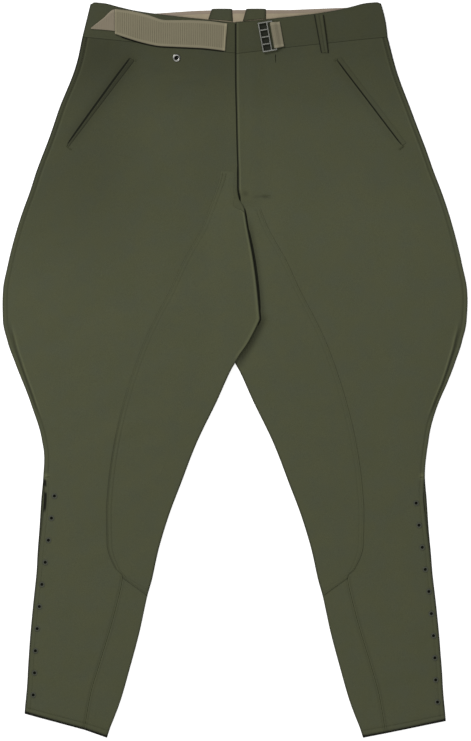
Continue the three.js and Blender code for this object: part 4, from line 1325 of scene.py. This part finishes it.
def make_painted_fold_shadows():
    """Painted shadows: beside the fly and in its parting, below the crotch's lapped edge, under the belt end
    and in the pocket mouths.
    """
    beside_fly, on_left = over_front("right"), over_front("left")
    on_left_patch = over_front("left", PATCH_LIFT + PATCH)

    def in_the_parting(x, y):
        """The height in the fly's parting, on the back's cloth."""
        return CLOTH + 0.25 + 0 * x

    beside = 0.6
    band = waist_point("left", np.linspace(0.97, 0, 20)[None, :], np.full((1, 20), 2.0))
    band = np.stack([c[0] for c in band], 1) - np.array([beside, 0])
    fly = np.concatenate([band, lap_line("left", 0.01, 5.2, beside)])
    parting = [(3.2, 268), (3.9, 258), (6.6, 244), (8, 238)]
    fold = lap_line("right", 7.0, 11.3, 0.5)
    mid_fold = fold[22:78] + np.array([1.1, 0])
    strap_low = np.stack(strip_point(STRAP, np.linspace(0.1, 1.0, 60), np.full(60, 1.015)), 1)
    ribbons = [
        # path, surface, width, taper
        (fly, beside_fly, 1.6, 2.0),
        (lap_line("left", 3.6, 5.5, 0.9), beside_fly, 2.5, 16.0),
        (parting, in_the_parting, 7.0, 3.0),
        (fold, on_left_patch, 2.0, 14.0),
        (mid_fold, on_left_patch, 2.6, 50.0),
        (strap_low, beside_fly, 2.6, 8.0),
        ([(57.5, 449), (57.3, 434)], on_left, 1.3, 5.0),
    ]
    share = np.linspace(0, 1, 40)
    mouths = [("right", welt_width("right", share) + 0.8, 2.7, 48.0), ("left", -0.6 + 0 * share, 1.5, 24.0)]
    for leg, over, width, taper in mouths:
        ribbons.append((np.stack(welt_point(leg, share, over), 1), over_front(leg), width, taper))
    shapes = [painted_shadow_ribbon(*ribbon) for ribbon in ribbons]
    return make_object("cloth_painted_fold_shadows", joined(shapes), PAINTED_FOLD_SHADE)


FLY_STITCHES = [(57, 446), (56, 400), (55, 350), (54, 310), (52, 285)]
FLY_STITCHES += [(49, 265), (45, 252), (38, 243), (28, 238)]
STITCH_SINK, PATCH_STITCH_SINK = 0.12, 0.2  # how deep a stitch lies in the cloth
LAST_PATCH_SECTION = 33.0  # about how many millimetres one section is long at the patch's lower end


def topstitching(leg):
    """All the sewn lines of one front in one piece."""
    sign = SIGN[leg]
    on_cloth, on_welt = over_front(leg, -STITCH_SINK), over_front(leg, 0.95)
    on_patch = over_front(leg, PATCH_LIFT + PATCH - PATCH_STITCH_SINK)

    def in_side_groove(x, y):
        """The height in the side seam's valley, with the stitches less deep in it."""
        valley = np.minimum(side_seam_depth(y), groove_room(x, y))
        return front_top_side(leg, x, y) - (valley - STITCH_SINK)

    share = np.linspace(0, 1, 20)
    inner = WELT_SIDES[leg]["open"] == "inner"
    on_edge = WELT_STITCH if inner else welt_width(leg, share) - WELT_STITCH
    off_edge = POCKET_STITCH if inner else -WELT_STITCH
    beside = [np.stack(welt_point(leg, share, over), 1) for over in (on_edge, off_edge)]
    slope = math.degrees(math.atan2(WELT_RUN[0], -WELT_RUN[1])) * sign
    rows = [
        stitch_row(along_side(leg, SIDE_STITCH, 0.05, LAST - 0.03), in_side_groove),
        stitch_row(across_leg(leg, HEM_STITCH, 0.03, 1.97), on_cloth),
        *(stitch_row(along_waist(leg, height), on_cloth) for height in BAND_STITCHES),
        stitch_row(beside[0], on_welt),
        stitch_row(beside[1], on_cloth),
        bar_tack(sign * WELT["from_x"], WELT["from_y"] + 1.5, slope, on_welt, 6.0),
        bar_tack(sign * WELT["to_x"], WELT["to_y"] - 1.5, slope, on_welt, 9.0),
        bar_tack(sign * (side_at(-150) - 5), -152, 5, on_cloth, 7.0),
    ]
    for place in PATCH_STITCHES:
        lowest = PATCH_END - place / LAST_PATCH_SECTION
        rows.append(stitch_row(along_patch(leg, place, PATCH_TOP[leg] + 0.1, lowest), on_patch))
        end = along_patch(leg, place, lowest, lowest, steps=2)[0]
        last = leg_point(leg, np.array([lowest]), np.array([1.96]))
        rows.append(stitch_row([end, (float(last[0][0]), float(last[1][0]))], on_patch))
    down = np.linspace(PATCH_END + 0.02, LAST - 0.05, 90)[:, None]
    x, y = leg_point(leg, down, 1 - SHIN_STITCH / row_width(leg, down, 0))
    rows.append(stitch_row(np.concatenate([x, y], 1), on_cloth))
    if leg == "left":
        rows.append(stitch_row(FLY_STITCHES, on_cloth))
        rows.append(bar_tack(45, 248, -3, on_cloth, 12.0))
        rows.append(bar_tack(57, 440, 90, on_cloth, 8.0))
        rows.append(bar_tack(127.5, 452, 0, over_front(leg, REST + 1.0), 9.0))
    return make_object(f"thread_topstitching_{leg}", joined(rows), THREAD)


def back_stitching(leg):
    """The sewn lines of one back, sunk in their grooves on the side that lies on the table."""
    sink = 0.3

    def under_cloth(x, y):
        """The height in a groove of the back panel."""
        return back_rise(leg, x, y) + sink

    def under_band(x, y):
        """The height in a groove of the waistband, which lies flat."""
        return sink + 0 * x

    rows = [
        stitch_row(along_side(leg, SIDE_STITCH, 0.05, LAST - 0.03, True), under_cloth),
        stitch_row(across_leg(leg, HEM_STITCH, 0.03, 1.97, True), under_cloth),
        *(stitch_row(along_waist(leg, height, True), under_band) for height in BAND_STITCHES),
    ]
    for place in PATCH_STITCHES:
        path = along_patch(leg, place + SEAM_GAP, FLY_TACK + 0.1, PATCH_END - 0.1, True)
        rows.append(stitch_row(path, under_cloth))
    return make_object(f"thread_back_stitching_{leg}", joined(rows), THREAD)


def turned_ring(x, y, surface, profile, sides):
    """A ring: a closed profile of (radius, height) turned round its middle and laid on the surface."""
    angle = np.linspace(0, 2 * np.pi, sides, endpoint=False)
    radius, height = profile[:, 0][None, :], profile[:, 1][None, :]
    px, py = x + radius * np.cos(angle)[:, None], y + radius * np.sin(angle)[:, None]
    points = np.stack([px, py, surface(px, py) + height], -1)
    index = np.arange(points.shape[0] * points.shape[1]).reshape(points.shape[:2])
    wrapped = np.concatenate([index, index[:1]], 0)
    wrapped = np.concatenate([wrapped, wrapped[:, :1]], 1)
    points, faces = points.reshape(-1, 3), grid_faces(wrapped)
    return points, faces if volume(points, faces) > 0 else faces[:, ::-1]


def blocky(value, power):
    """A sine or cosine bent to a rounded block: sign(v) |v|^power."""
    return np.sign(value) * np.abs(value) ** power


def round_profile(hole, outer, height, count=12, squareness=0.7):
    """The section of a ring between two radii: a rounded block of cos^s and sin^s."""
    a = np.linspace(0, 2 * np.pi, count, endpoint=False)
    middle, half = (hole + outer) / 2, (outer - hole) / 2
    along, up = blocky(np.cos(a), squareness), blocky(np.sin(a), squareness)
    return np.stack([middle + half * along, height / 2 + height / 2 * up], -1)


def painted_shade_disc(x, y, radius, surface, lift=0.06, thickness=0.05, sides=20):
    """Painted shade in a hole: a thin closed disc in a shadow colour."""
    angle = np.linspace(0, 2 * np.pi, sides, endpoint=False)
    rings = []
    for share, height in ((0.98, 0.0), (1.0, thickness / 2), (0.98, thickness)):
        px, py = x + radius * share * np.cos(angle), y + radius * share * np.sin(angle)
        rings.append(np.stack([px, py, surface(px, py) + lift + height], -1))
    return closed_tube(np.array(rings))


def face_marks(shapes, marks):
    """The material's number for each face of several shapes joined in one."""
    return np.concatenate([np.full(len(faces), mark) for (_, faces), mark in zip(shapes, marks)])


def make_eyelets(leg):
    """The ten lacing eyelets beside a calf slit, painted like the cloth, with painted shade in their holes."""
    surface = over_front(leg)
    shapes, nodes = [], []
    for i in range(EYELETS["count"]):
        y = EYELETS["first_y"][leg] - i * EYELETS["pitch"]
        extra = (EYELET_TOP_INSET - EYELET_INSET) * max(0, 1 - i / EYELET_TAPER)
        x = SIGN[leg] * (float(side_at(y)) - EYELET_INSET - extra)
        rim = round_profile(EYELETS["hole"], EYELETS["outer"], EYELETS["height"], 12)
        shapes += [turned_ring(x, y, surface, rim, 24), painted_shade_disc(x, y, EYELETS["hole"] + 0.15, surface)]
        nodes.append(f"calf_eyelet_{leg}_{i + 1:02d}")
    marks = face_marks(shapes, [0, 1] * EYELETS["count"])
    materials = [EYELET_METAL, PAINTED_HOLE_SHADE]
    return make_object(f"metal_calf_eyelets_{leg}", joined(shapes), materials, nodes, marks)


def make_ring():
    """The plated ring below the belt."""
    surface = over_front("right", REST)
    rim = round_profile(RING["hole"], RING["outer"], RING["height"], 16, 0.9)
    shapes = [turned_ring(RING["x"], RING["y"], surface, rim, 40)]
    # painted shade in the ring's hole
    shapes.append(painted_shade_disc(RING["x"], RING["y"], RING["hole"] + 0.5, surface, -0.3))
    marks = face_marks(shapes, [0, 1])
    return make_object("metal_waist_ring", joined(shapes), [RING_METAL, PAINTED_HOLE_SHADE], ["waist_ring"], marks)


def on_waist(points):
    """Buckle points turned and set on the waistband, at the height of the CAD buckle's own foot."""
    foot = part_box("ladder_buckle")[0][2] * 1000
    c, s = math.cos(BUCKLE["turn"]), math.sin(BUCKLE["turn"])
    x = BUCKLE["x"] + c * points[..., 0] - s * points[..., 1]
    y = BUCKLE["y"] + s * points[..., 0] + c * points[..., 1]
    return np.stack([x, y, points[..., 2] + foot], -1)


def bar(start, end, width, low, high, around=16):
    """A straight bar of rounded block section, with rounded ends."""
    start, end = np.array(start, float), np.array(end, float)
    length = np.hypot(*(end - start))
    along = (end - start) / length
    turn = np.array([-along[1], along[0]])
    rim = 0.7
    places = stations(length, length / 4, rim, rim)[:, None]
    full = rim_fullness(np.minimum(places, length - places) + 0.02, rim)
    a = np.linspace(0, 2 * np.pi, around, endpoint=False)[None, :]
    side = width / 2 * blocky(np.cos(a), 0.6) * (0.4 + 0.6 * full)
    up = (low + high) / 2 + (high - low) / 2 * blocky(np.sin(a), 0.6) * full
    x = start[0] + along[0] * places + turn[0] * side
    y = start[1] + along[1] * places + turn[1] * side
    return closed_tube(on_waist(np.stack([x, y, up + 0 * x], -1)))


def make_buckle():
    """The ladder buckle: three long rails, two end bars and three rungs, cast in one, over a thin plate of
    painted shade.
    """
    half_x = BUCKLE["width"] / 2 - BUCKLE_RAIL / 2
    half_y = BUCKLE["height"] / 2 - BUCKLE_RAIL / 2
    middle = -half_x + BUCKLE_RAIL + BUCKLE_WINDOW
    thick = BUCKLE["thickness"]
    reach = BUCKLE_RAIL / 2
    rail_end = half_y + reach - 0.2
    bars = [bar((x, -rail_end), (x, rail_end), BUCKLE_RAIL, 0, thick) for x in (-half_x, middle, half_x)]
    bars += [bar((-half_x - 0.7, y), (half_x + 0.7, y), BUCKLE_RAIL, 0, thick) for y in (-half_y, half_y)]
    clear = (BUCKLE["height"] - 2 * BUCKLE_RAIL - (BUCKLE_WINDOWS - 1) * BUCKLE_RUNG) / BUCKLE_WINDOWS
    for i in range(1, BUCKLE_WINDOWS):
        y = -half_y - reach + BUCKLE_RAIL + i * clear + (i - 0.5) * BUCKLE_RUNG
        bars.append(bar((-half_x, y), (middle, y), BUCKLE_RUNG, 0.15, thick - 0.3))
    # a thin plate on the cloth under the windows, coloured as painted shade: the shadow under the buckle
    window_x = -half_x / 2 + middle / 2
    points, faces = bar((window_x, -half_y + 1), (window_x, half_y - 1), middle + half_x - 2, 0, 0.2)
    ground = patch_under("left", points[:, 0], points[:, 1])[:, None]
    points = points * [1, 1, 0] + [0, 0, 1] * (ground + points[:, 2:] - points[:, 2:].min() - 0.3)
    bars.append((points, faces))
    marks = face_marks(bars, [0] * (len(bars) - 1) + [1])
    materials = [BUCKLE_METAL, PAINTED_BUCKLE_SHADE]
    return make_object("metal_ladder_buckle", joined(bars), materials, ["ladder_buckle"], marks)


def make_buckle_webbing():
    """The short webbing that is folded round the buckle's outer rail, its two layers sewn together beside it"""
    rail = BUCKLE["width"] / 2 - BUCKLE_RAIL / 2
    low = -TAB["clear"] - TAB["wall"] / 2
    high = BUCKLE["thickness"] + TAB["clear"] + TAB["wall"] / 2
    around = np.linspace(-np.pi / 2, -3 * np.pi / 2, 15)
    away = np.linspace(0, 1, 22)
    reach = TAB["reach"]
    back, bend = 0.2, 1.9
    run_in, run_out = reach - (reach + back) * away[:-1], -back + (reach + back) * away[1:]
    s = np.concatenate([run_in, -back + bend * np.cos(around), run_out])
    settle = (high - low - TAB["wall"] - 0.15) * ease(away[1:], 0.15, 0.75)
    round_rail = (low + high) / 2 + (high - low) / 2 * np.sin(around)
    z = np.concatenate([low + 0 * away[:-1], round_rail, high - settle])
    run = np.concatenate([[0], np.cumsum(np.hypot(np.diff(s), np.diff(z)))])
    tangent = np.stack([np.gradient(s, run), np.gradient(z, run)], -1)
    edge = 0.6
    places = stations(TAB["height"], 1.5, edge, edge)[None, :]
    half = TAB["height"] / 2
    lean = 1 - 0.035 * ease(s, 0, reach)[:, None]
    middle = np.stack([rail + s[:, None] + 0 * places, (places - half) * lean, z[:, None] + 0 * places], -1)
    normal = np.stack([tangent[:, 1:] + 0 * places, 0 * middle[..., 0], -tangent[:, :1] + 0 * places], -1)
    from_end = np.minimum(run, run[-1] - run)[:, None]
    full = rims((from_end, edge), (np.minimum(places, TAB["height"] - places), edge))
    ribs = 0.06 * np.sin(2 * np.pi * places / 2.2)
    turned_middle = on_waist(middle)
    turned_normal = on_waist(middle + normal) - turned_middle
    shape = closed_shell(turned_middle, turned_normal, (TAB["wall"] / 2 + ribs) * full)
    own_map = flat_map(run[:, None], places)
    piece = make_object("webbing_at_buckle", shape, TAB_WEBBING, ["buckle_webbing"], own_map=own_map)
    flat = (TAB["height"] / 1000, run[-1] / 1000)
    SHEETS[piece.name] = [piece, flat, ["cloth_front_waistband_left"], None, []]


for leg in SIGN:
    make_back_panel(leg)
    make_back_patch(leg)
    make_waistband(leg, back=True)
make_lining()
for leg in SIGN:
    make_back_loop(leg)
    front = make_front_panel(leg)
    make_shin_panel(leg)
    make_saddle_patch(leg)
    make_waistband(leg)
    SHEETS[front.name][-1] = [make_welt(leg), topstitching(leg)]
    back_stitching(leg)
    make_eyelets(leg)
make_belt_loop()
make_strap_fold()
make_strap()
make_buckle()
make_buckle_webbing()
make_ring()
make_painted_fold_shadows()

# Camera, floor and light
PHOTO_ROWS, ROW = 741, 0.00142  # rows of the photograph, and metres to one of them
PICTURE_HEIGHT = PHOTO_ROWS * ROW
CENTRE = Vector((0.0007, -0.0007, 0.0))
DISTANCE, CLOTH_TOP, SENSOR = 3.0, 0.005, 24  # the camera's height, the cloth's, and the sensor in millimetres


def make_camera():
    """A long lens straight above, with the picture's height just the photograph's 741 rows of 1.42 mm."""
    data = bpy.data.cameras.new("camera above")
    data.sensor_fit = "VERTICAL"
    data.sensor_height = SENSOR
    data.lens = SENSOR / 2 / (PICTURE_HEIGHT / 2 / (DISTANCE - CLOTH_TOP))
    data.clip_start, data.clip_end = 0.1, 20
    camera = bpy.data.objects.new("camera above", data)
    camera.location = CENTRE + Vector((0, 0, DISTANCE))
    bpy.context.scene.collection.objects.link(camera)
    bpy.context.scene.camera = camera


def make_floor():
    """A pale table top just under the breeches."""
    half, low = 4.0, -0.0004
    mesh = bpy.data.meshes.new("pale table")
    corners = [(-half, -half, low), (half, -half, low), (half, half, low), (-half, half, low)]
    mesh.from_pydata(corners, [], [(0, 1, 2, 3)])
    paper = Shader("lit paper").finish(
        Base_Color=linear((250, 250, 249)), Roughness=0.9, Emission_Color=(1, 1, 1, 1), Emission_Strength=0.5
    )
    mesh.materials.append(paper)
    table = bpy.data.objects.new("pale_table", mesh)
    bpy.context.scene.collection.objects.link(table)


def make_lamp(name, place, size, power):
    """A soft square light that faces the breeches."""
    data = bpy.data.lights.new(name, "AREA")
    data.shape, data.size, data.energy = "SQUARE", size, power
    lamp = bpy.data.objects.new(name, data)
    lamp.location = place
    lamp.rotation_mode = "QUATERNION"
    lamp.rotation_quaternion = (Vector(place) - CENTRE).to_track_quat("Z", "Y")
    bpy.context.scene.collection.objects.link(lamp)


make_camera()
make_floor()
make_lamp("window side", (-1.1, 1.4, 1.7), 0.9, 31)
make_lamp("ceiling", (0.35, -0.9, 3.2), 2.5, 52)
world = bpy.data.worlds.new("studio")
world.use_nodes = True
sky = world.node_tree.nodes["Background"].inputs
sky["Color"].default_value, sky["Strength"].default_value = (1, 1, 1, 1), 0.2
bpy.context.scene.world = world
bpy.context.scene.view_settings.view_transform = "Standard"
